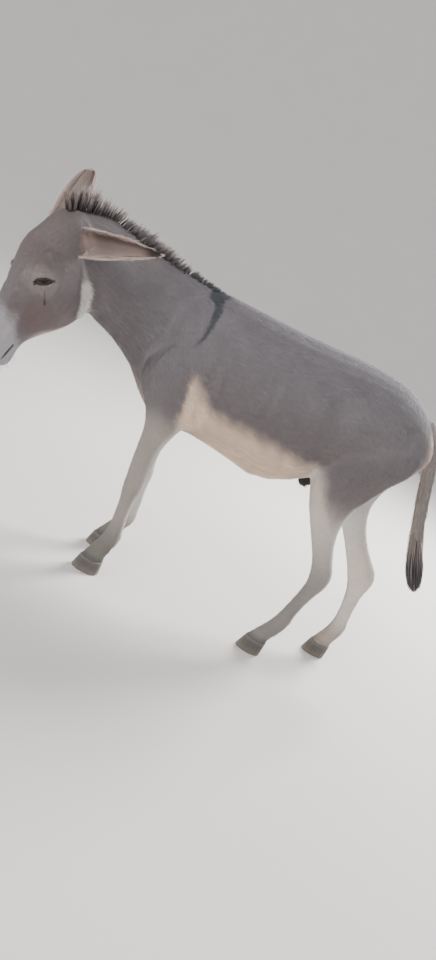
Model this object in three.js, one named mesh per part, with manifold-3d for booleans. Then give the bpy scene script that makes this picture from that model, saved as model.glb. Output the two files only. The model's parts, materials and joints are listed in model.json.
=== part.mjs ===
// A small grey donkey standing at rest, life size, in millimetres, +Z up.
// It faces -X with its left side towards -Y. Its neck is stretched level and bent a little to the left,
// its head hangs and looks to the left, its ears lie back, and its hind feet stand well under the belly.
// The whole body is lofted and joined as one solid, then parted with thin cuts into the named nodes.
import * as THREE from "three";
import { mergeVertices } from "three/addons/utils/BufferGeometryUtils.js";
import Module from "manifold-3d";

const wasm = await Module();
wasm.setup();

// ---------------------------------------------------------------- driving dimensions
const GAP = 0.4; // between neighbouring nodes
const NEAR = -1; // the left side
const FAR = 1; // the right side

// Sides round a loft and sections along it, for each kind of form.
const TRUNK_GRID = { sides: 28, sections: 21 };
const NECK_GRID = { sides: 22, sections: 11 };
const HEAD_GRID = { sides: 26, sections: 23 };
const LEG_GRID = { sides: 12, sections: 24 };
const HOOF_GRID = { sides: 12, sections: 3 };
const TAIL_GRID = { sides: 8, sections: 12 };
const MANE_GRID = { sides: 6, sections: 13 };
const EAR_GRID = { arc: 6, sections: 11 };
const EYE_GRID = { round: 12, down: 8 };

// Trunk: back line, belly line and half width at stations from the breast to the buttocks.
// wide is the height of the widest place, as a share of the depth; over and under are the fullness
// of the upper and lower halves (2 is an ellipse, less is a ridge, more is boxy).
const TRUNK = [
  { x: -436, top: 905, low: 712, half: 52, wide: 0.5, over: 2.0, under: 2.0 },
  { x: -404, top: 985, low: 655, half: 92, wide: 0.48, over: 2.0, under: 2.0 },
  { x: -345, top: 1032, low: 596, half: 126, wide: 0.46, over: 1.8, under: 2.0 },
  { x: -250, top: 1053, low: 568, half: 158, wide: 0.42, over: 1.7, under: 2.1 },
  { x: -150, top: 1052, low: 572, half: 190, wide: 0.42, over: 1.8, under: 2.1 },
  { x: -30, top: 1049, low: 560, half: 220, wide: 0.43, over: 2.0, under: 2.1 },
  { x: 90, top: 1049, low: 541, half: 230, wide: 0.45, over: 2.0, under: 2.1 },
  { x: 190, top: 1052, low: 572, half: 221, wide: 0.48, over: 2.0, under: 2.1 },
  { x: 290, top: 1054, low: 632, half: 204, wide: 0.53, over: 1.9, under: 2.1 },
  { x: 380, top: 1048, low: 668, half: 194, wide: 0.55, over: 1.85, under: 2.2 },
  { x: 450, top: 1034, low: 694, half: 178, wide: 0.55, over: 1.85, under: 2.2 },
  { x: 520, top: 995, low: 728, half: 146, wide: 0.55, over: 1.9, under: 2.1 },
  { x: 572, top: 938, low: 776, half: 104, wide: 0.52, over: 2.0, under: 2.0 },
  { x: 598, top: 888, low: 826, half: 52, wide: 0.5, over: 2.0, under: 2.0 },
];

// Neck: crest and underside at stations from inside the trunk to inside the head.
const NECK = [
  { crest: [-215, 0, 1046], gullet: [-300, 0, 640], half: 110, over: 1.7, under: 2.1 },
  { crest: [-330, -4, 1053], gullet: [-366, -3, 612], half: 112, over: 1.6, under: 2.1 },
  { crest: [-448, -28, 1066], gullet: [-440, -28, 694], half: 92, over: 1.6, under: 2.1 },
  { crest: [-560, -84, 1089], gullet: [-524, -80, 762], half: 80, over: 1.6, under: 2.1 },
  { crest: [-658, -150, 1113], gullet: [-590, -134, 798], half: 74, over: 1.7, under: 2.1 },
  { crest: [-734, -212, 1095], gullet: [-648, -178, 827], half: 70, over: 2.0, under: 2.0 },
];
const NECK_WIDE = 0.42; // the height of the neck's widest place, as a share of its depth

// Head in its own frame: +X from the poll to the muzzle, +Y to the left, +Z out of the forehead.
const HEAD_AT = [-788, -254, 1060];
const HEAD_TURN = 46; // degrees to the left of the walking direction
const HEAD_NOSE_OUT = 13.5; // degrees that the nose swings forward of plumb
const HEAD = [
  { x: -48, top: -48, low: -134, half: 40, wide: 0.5, over: 2.0, under: 2.0 },
  { x: -14, top: -14, low: -172, half: 67, wide: 0.62, over: 2.2, under: 2.0 },
  { x: 38, top: 1, low: -210, half: 88, wide: 0.7, over: 2.3, under: 2.0 },
  { x: 102, top: 6, low: -240, half: 102, wide: 0.74, over: 2.3, under: 2.1 },
  { x: 166, top: 7, low: -256, half: 112, wide: 0.78, over: 2.3, under: 2.2 },
  { x: 216, top: 3, low: -256, half: 106, wide: 0.77, over: 2.2, under: 2.3 },
  { x: 264, top: -1, low: -242, half: 87, wide: 0.7, over: 2.1, under: 2.3 },
  { x: 312, top: -3, low: -209, half: 69, wide: 0.62, over: 2.1, under: 2.2 },
  { x: 356, top: -6, low: -170, half: 57, wide: 0.56, over: 2.2, under: 2.1 },
  { x: 396, top: -11, low: -144, half: 52, wide: 0.54, over: 2.3, under: 2.1 },
  { x: 432, top: -15, low: -142, half: 56, wide: 0.56, over: 2.4, under: 2.1 },
  { x: 468, top: -23, low: -143, half: 54, wide: 0.58, over: 2.4, under: 2.1 },
  { x: 494, top: -42, low: -122, half: 41, wide: 0.56, over: 2.2, under: 2.0 },
  { x: 504, top: -62, low: -100, half: 20, wide: 0.5, over: 2.0, under: 2.0 },
];
const EYE = { at: [197, 84, -45], radius: 25 };
// The opening between the lids: where the eye looks, the way to its inner corner, and its half sizes
// towards the corner, towards the upper lid and outwards.
const LIDS = { gaze: [0.05, 0.86, 0.5], corner: [0.64, -0.38, 0.66], size: [26, 8, 14] };
const ORBIT = { at: [197, 104, -34], reach: 26, height: 4, core: -70 };
const BROW = { at: [124, 80, -6], reach: 46, height: 16, core: -70 };
const NOSTRIL = { at: [456, 48, -32], reach: 24, height: 6, core: -70 };
const CHEEK = { at: [184, 78, -165], reach: 78, height: 9, core: -140 };

// Ears: the least share of the width that is left at the tip, the wall at the root and at the tip and
// its most as a share of the cup's radius, how far round root and tip are rolled, in half turns, and
// how far the ear bows.
const EAR = { least: 0.1, wall: [8, 4.5], most: 0.7, rolled: [0.92, 0.4], bow: 8 };
// How the left ear and, mirrored, the right one are held in the head's frame: the root, where the tip
// lies from it, which way the cup opens and how wide, and how late and how bluntly it narrows to the
// tip. The left ear lies back and out, the right one stands up.
const EAR_LIE = {
  [NEAR]: {
    root: [42, 76, -65],
    tip: [-117, 176, -162],
    facing: [0.05, 0.62, 0.53],
    width: 98,
    narrowing: 0.95,
    blunt: 0.7,
  },
  [FAR]: {
    root: [13, 62, -67],
    tip: [-204, 148, -60],
    facing: [0, -0.55, 0.8],
    width: 112,
    narrowing: 1.3,
    blunt: 0.36,
  },
};

// Legs: front and rear edge, middle and half width at each height. Legs taper from the muscle that lies
// on the trunk down to the top of the hoof.
const FORELEG = [
  { z: 930, front: -312, rear: -244, y: 76, half: 24 },
  { z: 800, front: -384, rear: -200, y: 92, half: 65 },
  { z: 700, front: -392, rear: -168, y: 92, half: 71 },
  { z: 625, front: -336, rear: -166, y: 98, half: 63 },
  { z: 560, front: -305, rear: -194, y: 110, half: 51 },
  { z: 500, front: -297, rear: -213, y: 117, half: 43 },
  { z: 430, front: -293, rear: -214, y: 121, half: 36 },
  { z: 385, front: -288, rear: -213, y: 122, half: 33 },
  { z: 348, front: -286, rear: -210, y: 122, half: 36 },
  { z: 310, front: -279, rear: -217, y: 122, half: 31 },
  { z: 270, front: -273, rear: -219, y: 122, half: 25 },
  { z: 200, front: -270, rear: -215, y: 122, half: 22 },
  { z: 150, front: -276, rear: -206, y: 122, half: 27 },
  { z: 116, front: -289, rear: -220, y: 122, half: 24 },
  { z: 80, front: -305, rear: -229, y: 122, half: 28 },
  { z: 52, front: -315, rear: -234, y: 122, half: 33 },
];
const FORE_HOOF = { front: -333, rear: -232, half: 39 };

const HIND_TOP = [
  { z: 980, front: 360, rear: 470, y: 70, half: 42 },
  { z: 890, front: 300, rear: 572, y: 88, half: 80 },
];
const NEAR_HIND = [
  ...HIND_TOP,
  { z: 800, front: 268, rear: 566, y: 100, half: 91 },
  { z: 720, front: 258, rear: 512, y: 106, half: 84 },
  { z: 650, front: 266, rear: 470, y: 112, half: 72 },
  { z: 600, front: 284, rear: 449, y: 115, half: 61 },
  { z: 550, front: 308, rear: 438, y: 117, half: 52 },
  { z: 500, front: 338, rear: 441, y: 118, half: 44 },
  { z: 450, front: 368, rear: 456, y: 118, half: 38 },
  { z: 405, front: 394, rear: 476, y: 118, half: 34 },
  { z: 365, front: 410, rear: 494, y: 118, half: 36 },
  { z: 320, front: 419, rear: 488, y: 118, half: 35 },
  { z: 275, front: 413, rear: 469, y: 118, half: 28 },
  { z: 200, front: 395, rear: 447, y: 118, half: 23 },
  { z: 145, front: 378, rear: 443, y: 118, half: 28 },
  { z: 112, front: 360, rear: 428, y: 118, half: 26 },
  { z: 78, front: 339, rear: 410, y: 118, half: 28 },
  { z: 52, front: 325, rear: 398, y: 118, half: 32 },
];
const NEAR_HIND_HOOF = { front: 303, rear: 396, half: 37 };
const FAR_HIND = [
  ...HIND_TOP,
  { z: 800, front: 290, rear: 590, y: 100, half: 91 },
  { z: 720, front: 302, rear: 566, y: 105, half: 84 },
  { z: 650, front: 334, rear: 543, y: 110, half: 72 },
  { z: 600, front: 374, rear: 537, y: 112, half: 61 },
  { z: 550, front: 420, rear: 547, y: 113, half: 52 },
  { z: 500, front: 462, rear: 571, y: 113, half: 44 },
  { z: 450, front: 500, rear: 606, y: 113, half: 38 },
  { z: 405, front: 530, rear: 648, y: 113, half: 34 },
  { z: 365, front: 556, rear: 679, y: 113, half: 36 },
  { z: 320, front: 582, rear: 674, y: 113, half: 35 },
  { z: 270, front: 602, rear: 664, y: 113, half: 28 },
  { z: 190, front: 612, rear: 665, y: 113, half: 23 },
  { z: 138, front: 609, rear: 674, y: 113, half: 28 },
  { z: 104, front: 598, rear: 664, y: 113, half: 26 },
  { z: 74, front: 584, rear: 655, y: 113, half: 28 },
  { z: 52, front: 575, rear: 649, y: 113, half: 32 },
];
const FAR_HIND_HOOF = { front: 556, rear: 647, half: 37 };
const HOOF_TOP = 52;
const CORONET_LIP = 1; // how far the hoof's wall stands out of the pastern
const LEG_SECTION = { wide: 0.52, over: 2.1, under: 2.1 };
const HOOF_SECTION = { wide: 0.45, over: 2.2, under: 2.6 };

// Tail: its middle line and half thickness from the dock to the tip of the tuft.
const TAIL_FLAT = 0.9; // its width, as a share of its depth
const TAIL = [
  { at: [540, 0, 968], half: 24 },
  { at: [588, 0, 906], half: 26 },
  { at: [618, 0, 835], half: 26 },
  { at: [641, 0, 765], half: 25 },
  { at: [664, 0, 695], half: 24 },
  { at: [690, 0, 622], half: 24 },
  { at: [721, 0, 548], half: 28 },
  { at: [750, 0, 488], half: 30 },
  { at: [777, 0, 438], half: 20 },
  { at: [789, 0, 414], half: 6 },
];

// Mane: it stands on the crest from between the ears to the withers.
const MANE = [
  { at: [-768, -241, 1076], height: 20, half: 8 },
  { at: [-753, -229, 1086], height: 50, half: 12 },
  { at: [-725, -204, 1097], height: 52, half: 14 },
  { at: [-655, -148, 1111], height: 33, half: 14 },
  { at: [-560, -84, 1087], height: 30, half: 13 },
  { at: [-500, -50, 1075], height: 28, half: 12 },
  { at: [-445, -27, 1065], height: 20, half: 11 },
  { at: [-350, -5, 1051], height: 8, half: 9 },
];
const MANE_ROOT = 16; // how deep the mane's strip starts below the crest
const MANE_SECTION = { wide: 0.3, over: 1.7 };

const SHEATH = { at: [264, 0, 610], size: [27, 18, 34] };
const SHEATH_GRID = { round: 10, down: 6 };

// ---------------------------------------------------------------- lofting and joining
const vector = (a) => new THREE.Vector3(...a);

/** Smoothly interpolated stations: every number in the table's rows, at evenly spaced steps. */
function refine(rows, count) {
  const keys = Object.keys(rows[0]);
  const flat = rows.map((row) => keys.flatMap((key) => row[key]));
  const width = flat[0].length;
  const steps = Float32Array.from(rows.keys());
  const curve = new THREE.CubicInterpolant(steps, Float32Array.from(flat.flat()), width);
  return Array.from({ length: count }, (_, i) => {
    const values = Array.from(curve.evaluate((i * (rows.length - 1)) / (count - 1)));
    const row = {};
    for (const key of keys) {
      const size = Array.isArray(rows[0][key]) ? rows[0][key].length : 0;
      row[key] = size ? values.splice(0, size) : values.shift();
    }
    return row;
  });
}

/** One oval section between a high and a low point, `half` wide to each side along `side`. */
function oval({ high, low, side, half, wide = 0.5, over = 2, under = 2 }, sides) {
  const middle = low.clone().lerp(high, wide);
  return Array.from({ length: sides }, (_, i) => {
    const turn = (2 * Math.PI * i) / sides;
    const up = Math.cos(turn);
    const out = Math.sin(turn);
    const fullness = 2 / (up > 0 ? over : under);
    const rise = Math.sign(up) * Math.abs(up) ** fullness;
    const reach = Math.sign(out) * Math.abs(out) ** fullness;
    const end = up > 0 ? high : low;
    return middle
      .clone()
      .addScaledVector(end.clone().sub(middle), Math.abs(rise))
      .addScaledVector(side, reach * half);
  });
}

/** A closed skin over rings of equal length, with a fan over each end. */
function loft(rings) {
  const sides = rings[0].length;
  const points = rings.flat();
  const faces = [];
  for (let r = 0; r + 1 < rings.length; r++)
    for (let i = 0; i < sides; i++) {
      const [a, b] = [r * sides + i, r * sides + ((i + 1) % sides)];
      faces.push(a, b, b + sides, a, b + sides, a + sides);
    }
  for (const [ring, start, flip] of [
    [rings[0], 0, true],
    [rings.at(-1), (rings.length - 1) * sides, false],
  ]) {
    const hub = points.length;
    points.push(ring.reduce((sum, p) => sum.add(p), new THREE.Vector3()).divideScalar(sides));
    for (let i = 0; i < sides; i++) {
      const [a, b] = [start + i, start + ((i + 1) % sides)];
      faces.push(...(flip ? [hub, b, a] : [hub, a, b]));
    }
  }
  return new THREE.BufferGeometry().setFromPoints(points).setIndex(faces);
}

/** A manifold-3d solid of a closed geometry, turned the right way out. */
function solid(geometry) {
  const bare = new THREE.BufferGeometry();
  bare.setAttribute("position", geometry.getAttribute("position"));
  bare.setIndex(geometry.index);
  const merged = mergeVertices(bare, 1e-3);
  const make = (triVerts) =>
    new wasm.Manifold(
      new wasm.Mesh({ numProp: 3, vertProperties: merged.attributes.position.array, triVerts }),
    );
  const faces = new Uint32Array(merged.index.array);
  const made = make(faces);
  return made.volume() > 0 ? made : make(faces.reverse());
}

/** The three.js geometry of a solid, in the frame of the group that will hold it. */
function geometryOf(made, frame) {
  const mesh = made.getMesh();
  const geometry = new THREE.BufferGeometry();
  geometry.setAttribute("position", new THREE.BufferAttribute(mesh.vertProperties, 3));
  geometry.setIndex(new THREE.BufferAttribute(mesh.triVerts, 1));
  geometry.applyMatrix4(frame.clone().invert());
  geometry.computeVertexNormals();
  return geometry;
}

/** What stands on a body: it is cut to the body's own surface and clears it by the gap. */
function standOn(body, made, outwards) {
  const lift = vector(outwards).setLength(1.5 * GAP).toArray();
  return largest(made.subtract(body).subtract(body.translate(lift)));
}

const largest = (made) => made.decompose().sort((a, b) => b.volume() - a.volume())[0];

// ---------------------------------------------------------------- the forms of the body
const LEFTWARD = new THREE.Vector3(0, 1, 0);

/** The barrel, croup and breast, grown outwards by `grow`. */
function trunkForm(grow = 0) {
  const sections = refine(TRUNK, TRUNK_GRID.sections).map((s) => ({
    ...s,
    high: vector([s.x, 0, s.top + grow]),
    low: vector([s.x, 0, s.low - grow]),
    side: LEFTWARD,
    half: s.half + grow,
  }));
  return solid(loft(sections.map((s) => oval(s, TRUNK_GRID.sides))));
}

/** The neck; each section stands square to the neck's own bend. */
function neckForm(grow = 0) {
  const rows = refine(NECK, NECK_GRID.sections);
  const middles = rows.map((s) => vector(s.crest).lerp(vector(s.gullet), 0.5));
  const rings = rows.map((s, i) => {
    const along = middles[Math.min(i + 1, rows.length - 1)].clone();
    along.sub(middles[Math.max(i - 1, 0)]);
    const tall = vector(s.crest).sub(vector(s.gullet)).normalize();
    const side = tall.clone().cross(along).normalize();
    const high = vector(s.crest).addScaledVector(tall, grow);
    const low = vector(s.gullet).addScaledVector(tall, -grow);
    return oval({ ...s, high, low, side, half: s.half + grow, wide: NECK_WIDE }, NECK_GRID.sides);
  });
  return solid(loft(rings));
}

/** The head's frame: nose along +X, left along +Y, forehead towards +Z. */
function headFrame() {
  const turn = THREE.MathUtils.degToRad(HEAD_TURN);
  const swing = THREE.MathUtils.degToRad(HEAD_NOSE_OUT);
  const ahead = new THREE.Vector3(-Math.cos(turn), -Math.sin(turn), 0);
  const up = new THREE.Vector3(0, 0, 1);
  const nose = up.clone().multiplyScalar(-Math.cos(swing)).addScaledVector(ahead, Math.sin(swing));
  const brow = ahead.clone().multiplyScalar(Math.cos(swing)).addScaledVector(up, Math.sin(swing));
  const left = brow.clone().cross(nose);
  return new THREE.Matrix4().makeBasis(nose, left, brow).setPosition(vector(HEAD_AT));
}
const HEAD_FRAME = headFrame();

/** Swells a geometry outwards from the height `core` round a mirrored pair of places. */
function swell(geometry, { at, reach, height, core }) {
  const position = geometry.getAttribute("position");
  const p = new THREE.Vector3();
  for (let i = 0; i < position.count; i++) {
    p.fromBufferAttribute(position, i);
    const place = new THREE.Vector3(at[0], Math.sign(p.y || 1) * at[1], at[2]);
    const lift = height * Math.exp(-((p.distanceTo(place) / reach) ** 2));
    const out = p.clone().sub(new THREE.Vector3(p.x, 0, core)).normalize();
    p.addScaledVector(out, lift);
    position.setXYZ(i, p.x, p.y, p.z);
  }
}

/** The head with its brows, cheeks and nostril rims. */
function headForm(grow = 0) {
  const sections = refine(HEAD, HEAD_GRID.sections).map((s) => ({
    ...s,
    high: vector([s.x, 0, s.top + grow]),
    low: vector([s.x, 0, s.low - grow]),
    side: LEFTWARD,
    half: s.half + grow,
  }));
  const geometry = loft(sections.map((s) => oval(s, HEAD_GRID.sides)));
  for (const bulge of [BROW, ORBIT, CHEEK, NOSTRIL]) swell(geometry, bulge);
  geometry.applyMatrix4(HEAD_FRAME);
  return solid(geometry);
}

/** How far a leg stands back of its stations at height z: its shift, and its bow. */
function setBack(leg, z) {
  const rise = Math.min(Math.max((z - BOWED.low) / (BOWED.high - BOWED.low), 0), 1);
  return leg.shift + leg.bow * Math.sin(Math.PI * rise);
}

/** One leg as a stack of level ovals. */
function legForm(leg) {
  const sections = refine(leg.stations, LEG_GRID.sections).map((s) => ({
    high: vector([s.front + setBack(leg, s.z), leg.side * s.y, s.z]),
    low: vector([s.rear + setBack(leg, s.z), leg.side * s.y, s.z]),
    side: LEFTWARD,
    half: s.half,
    ...LEG_SECTION,
  }));
  return solid(loft(sections.map((s) => oval(s, LEG_GRID.sides))));
}

/** A hoof: a blunt cone from the coronet, leaning forward to a flat sole on the floor. */
function hoofForm(leg) {
  const { sole, side, shift } = leg;
  const coronet = leg.stations.at(-1);
  const rows = [
    { z: 0, front: sole.front, rear: sole.rear, half: sole.half },
    {
      z: HOOF_TOP - GAP,
      front: coronet.front - CORONET_LIP,
      rear: coronet.rear + CORONET_LIP,
      half: coronet.half + CORONET_LIP,
    },
  ];
  const rings = refine(rows, HOOF_GRID.sections).map((s) =>
    oval(
      {
        high: vector([s.front + shift, side * coronet.y, s.z]),
        low: vector([s.rear + shift, side * coronet.y, s.z]),
        side: LEFTWARD,
        half: s.half,
        ...HOOF_SECTION,
      },
      HOOF_GRID.sides,
    ),
  );
  return solid(loft(rings));
}

/** The tail, round in section along its own bent line. */
function tailForm() {
  const rows = refine(TAIL, TAIL_GRID.sections);
  const rings = rows.map((s, i) => {
    const along = vector(rows[Math.min(i + 1, rows.length - 1)].at);
    along.sub(vector(rows[Math.max(i - 1, 0)].at)).normalize();
    const across = along.clone().cross(LEFTWARD);
    const high = vector(s.at).addScaledVector(across, s.half);
    const low = vector(s.at).addScaledVector(across, -s.half);
    return oval({ high, low, side: LEFTWARD, half: s.half * TAIL_FLAT }, TAIL_GRID.sides);
  });
  return solid(loft(rings));
}

/** The mane's upright strip, thin at the tips of the hair. */
function maneForm() {
  const rows = refine(MANE, MANE_GRID.sections);
  const rings = rows.map((s, i) => {
    const along = vector(rows[Math.min(i + 1, rows.length - 1)].at);
    along.sub(vector(rows[Math.max(i - 1, 0)].at)).normalize();
    const up = new THREE.Vector3(0, 0, 1).addScaledVector(along, -along.z).normalize();
    const side = up.clone().cross(along).normalize();
    const high = vector(s.at).addScaledVector(up, s.height);
    const low = vector(s.at).addScaledVector(up, -MANE_ROOT);
    return oval({ ...MANE_SECTION, high, low, side, half: s.half }, MANE_GRID.sides);
  });
  return solid(loft(rings));
}

/** The direction an ear points in, in the world. */
function earAxis(side) {
  const [x, y, z] = EAR_LIE[side].tip;
  return new THREE.Vector3(x, -side * y, z).transformDirection(HEAD_FRAME).toArray();
}

/** An ear: a leaf-shaped wall rolled into a cup, open along its front. */
function earForm(side) {
  const { least, wall, most, rolled, bow } = EAR;
  const lie = EAR_LIE[side];
  const mirrored = (a) => new THREE.Vector3(a[0], -side * a[1], a[2]);
  const length = mirrored(lie.tip).length();
  const axis = mirrored(lie.tip).normalize();
  const facing = mirrored(lie.facing);
  facing.addScaledVector(axis, -facing.dot(axis)).normalize();
  const across = axis.clone().cross(facing);
  const base = mirrored(lie.root);
  const rings = Array.from({ length: EAR_GRID.sections }, (_, i) => {
    const t = i / (EAR_GRID.sections - 1);
    const leaf = Math.cos((Math.PI / 2) * t ** lie.narrowing) ** lie.blunt;
    const half = (lie.width / 2) * Math.max(leaf, least);
    const spread = Math.PI * THREE.MathUtils.lerp(...rolled, t);
    const radius = half / Math.sin(spread / 2);
    const thick = Math.min(THREE.MathUtils.lerp(...wall, t), radius * most);
    const centre = base.clone().addScaledVector(axis, t * length);
    centre.addScaledVector(facing, radius * Math.cos(spread / 2) + bow * Math.sin(Math.PI * t));
    const arc = (r, flip) =>
      Array.from({ length: EAR_GRID.arc + 1 }, (_, k) => {
        const turn = (flip ? -1 : 1) * spread * (k / EAR_GRID.arc - 0.5);
        return centre
          .clone()
          .addScaledVector(facing, -r * Math.cos(turn))
          .addScaledVector(across, r * Math.sin(turn));
      });
    return [...arc(radius, false), ...arc(radius - thick, true)];
  });
  return solid(loft(rings).applyMatrix4(HEAD_FRAME));
}

function eyeForm(side, grow = 0) {
  const { at, radius } = EYE;
  const ball = new THREE.SphereGeometry(radius + grow, EYE_GRID.round, EYE_GRID.down);
  ball.translate(at[0], -side * at[1], at[2]);
  return solid(ball.applyMatrix4(HEAD_FRAME));
}

/** What is cut out of the head round an eye: its ball and the opening between the lids. */
function socketForm(side) {
  const out = vector(LIDS.gaze).normalize();
  const along = vector(LIDS.corner);
  along.addScaledVector(out, -out.dot(along)).normalize();
  const turn = new THREE.Matrix4().makeBasis(along, out.clone().cross(along), out);
  turn.setPosition(vector(EYE.at).addScaledVector(out, EYE.radius));
  const opening = new THREE.SphereGeometry(1, EYE_GRID.round, EYE_GRID.down).scale(...LIDS.size);
  opening.applyMatrix4(turn).scale(1, -side, 1);
  return eyeForm(side, GAP).add(solid(opening.applyMatrix4(HEAD_FRAME)));
}

function sheathForm() {
  const { at, size } = SHEATH;
  const { round, down } = SHEATH_GRID;
  return solid(new THREE.SphereGeometry(1, round, down).scale(...size).translate(...at));
}

// ---------------------------------------------------------------- parting the body into nodes
/** Splits a solid at a plane and leaves the gap: [the part ahead of the plane, the part behind]. */
function part(made, point, normal) {
  const n = vector(normal).normalize();
  const offset = n.dot(vector(point));
  const back = n.clone().negate();
  return [
    made.trimByPlane(n.toArray(), offset + GAP / 2),
    made.trimByPlane(back.toArray(), -(offset - GAP / 2)),
  ];
}

const NECK_CUT = { point: [-330, 0, 850], normal: [-0.93, 0, 0.36] };
const POLL_CUT = { point: [-697, -173, 930], normal: [-0.82, -0.45, -0.3] };
const TUFT_CUT = { point: [703, 0, 587], normal: [0.4, 0, -0.92] };
// Legs, from the top: the pair, the side, its stations and sole, how far it stands back of them
// and bows back between its foot and knee, the name of its uppermost node, and the heights at
// which it is parted.
const BOWED = { low: HOOF_TOP, high: 390 };
const FORE_CUTS = { top: 622, middle: 300, low: 178 };
const HIND_CUTS = { top: 690, middle: 455, low: 170 };
const FORE = { pair: "fore", upper: "forearm", stations: FORELEG, sole: FORE_HOOF, cuts: FORE_CUTS };
const HIND = { pair: "hind", upper: "gaskin", cuts: HIND_CUTS, shift: 0, bow: 0 };
const LEGS = [
  { ...FORE, name: "left", side: NEAR, shift: 0, bow: 0 },
  { ...FORE, name: "right", side: FAR, shift: -18, bow: 19 },
  { ...HIND, name: "left", side: NEAR, stations: NEAR_HIND, sole: NEAR_HIND_HOOF },
  { ...HIND, name: "right", side: FAR, stations: FAR_HIND, sole: FAR_HIND_HOOF },
];

/** Every node's solid, by name. */
function makeNodes() {
  const nodes = {};

  // The body with the tops of the legs, and the legs that come out of it.
  let body = trunkForm().add(neckForm());
  const lower = [];
  for (const leg of LEGS) {
    const form = legForm(leg);
    const [top, free] = part(form, [0, 0, leg.cuts.top], [0, 0, 1]);
    body = body.add(top);
    lower.push(free);
  }
  for (const [i, leg] of LEGS.entries()) {
    const key = (place) => leg.pair + "_" + place + "_" + leg.name;
    const free = standOn(body, lower[i], [0, 0, -1]);
    const [upper, below] = part(free, [0, 0, leg.cuts.middle], [0, 0, 1]);
    const [cannon, pastern] = part(below, [0, 0, leg.cuts.low], [0, 0, 1]);
    nodes[key(leg.upper)] = upper;
    nodes[key("cannon")] = cannon;
    nodes[key("pastern")] = pastern;
    nodes[key("hoof")] = hoofForm(leg);
  }

  // The head, with a socket for each eye; ears stand on it.
  const whole = body.add(headForm());
  const [front, rest] = part(whole, POLL_CUT.point, POLL_CUT.normal);
  let head = front;
  for (const [name, side] of [["left", NEAR], ["right", FAR]]) {
    nodes["eye_" + name] = eyeForm(side);
    head = head.subtract(socketForm(side));
    const ear = earForm(side).subtract(headForm(GAP));
    nodes["ear_" + name] = standOn(whole, ear, earAxis(side));
  }
  nodes.head = largest(head);

  // Neck and trunk, then what stands on them.
  const [neck, barrel] = part(rest, NECK_CUT.point, NECK_CUT.normal);
  nodes.neck = largest(neck);
  nodes.trunk = largest(barrel);
  const tail = standOn(whole, tailForm(), [1, 0, -1]);
  [nodes.tail_tuft, nodes.tail] = part(tail, TUFT_CUT.point, TUFT_CUT.normal);
  nodes.mane = standOn(whole, maneForm(), [0, 0, 1]);
  nodes.sheath = standOn(whole, sheathForm(), [0, 0, -1]);
  return nodes;
}

// ---------------------------------------------------------------- the finished scene graph
const COAT = { grey: 0x8a8480, pale: 0xcfc7bb, dark: 0x3a3634, horn: 0x55504a, eye: 0x1a1410 };
const finish = (color, roughness) =>
  new THREE.MeshStandardMaterial({ color, roughness, metalness: 0 });

/** The coat colour that covers most of a node. */
function finishOf(name) {
  if (name.startsWith("eye")) return finish(COAT.eye, 0.15);
  if (name.includes("hoof")) return finish(COAT.horn, 0.6);
  if (/mane|tuft|sheath/.test(name)) return finish(COAT.dark, 0.85);
  if (/cannon|pastern|gaskin|forearm/.test(name)) return finish(COAT.pale, 0.85);
  return finish(COAT.grey, 0.85);
}

/** The group of all nodes; the head, its eyes and its ears sit in a turned group of their own. */
function makeDonkey() {
  const donkey = new THREE.Group();
  const headGroup = new THREE.Group();
  headGroup.applyMatrix4(HEAD_FRAME);
  donkey.add(headGroup);
  for (const [name, made] of Object.entries(makeNodes())) {
    const onHead = /^(head|eye|ear)/.test(name);
    const frame = onHead ? HEAD_FRAME : new THREE.Matrix4();
    const mesh = new THREE.Mesh(geometryOf(made, frame), finishOf(name));
    mesh.name = name;
    (onHead ? headGroup : donkey).add(mesh);
  }
  // The origin is on the floor, under the middle of the animal's own box.
  donkey.updateMatrixWorld(true);
  const box = new THREE.Box3().setFromObject(donkey, true);
  const middle = box.getCenter(new THREE.Vector3());
  donkey.position.set(-middle.x, -middle.y, -box.min.z);
  return donkey;
}

export default makeDonkey();
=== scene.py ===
"""A small grey donkey at rest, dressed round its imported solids.

One skin covers the solids of flesh. Over it lie short tufts of coat, an upright mane, a tail tuft and
the finer hair of the head. The eyes and hooves are pieces of their own. Lengths are in metres.
"""

from __future__ import annotations

import json
import logging
import math
from dataclasses import astuple, dataclass, field
from enum import IntEnum
from typing import Any, Callable, Sequence

import bmesh
import bpy
import numpy as np
from mathutils import Matrix, Vector
from mathutils.bvhtree import BVHTree

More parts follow.
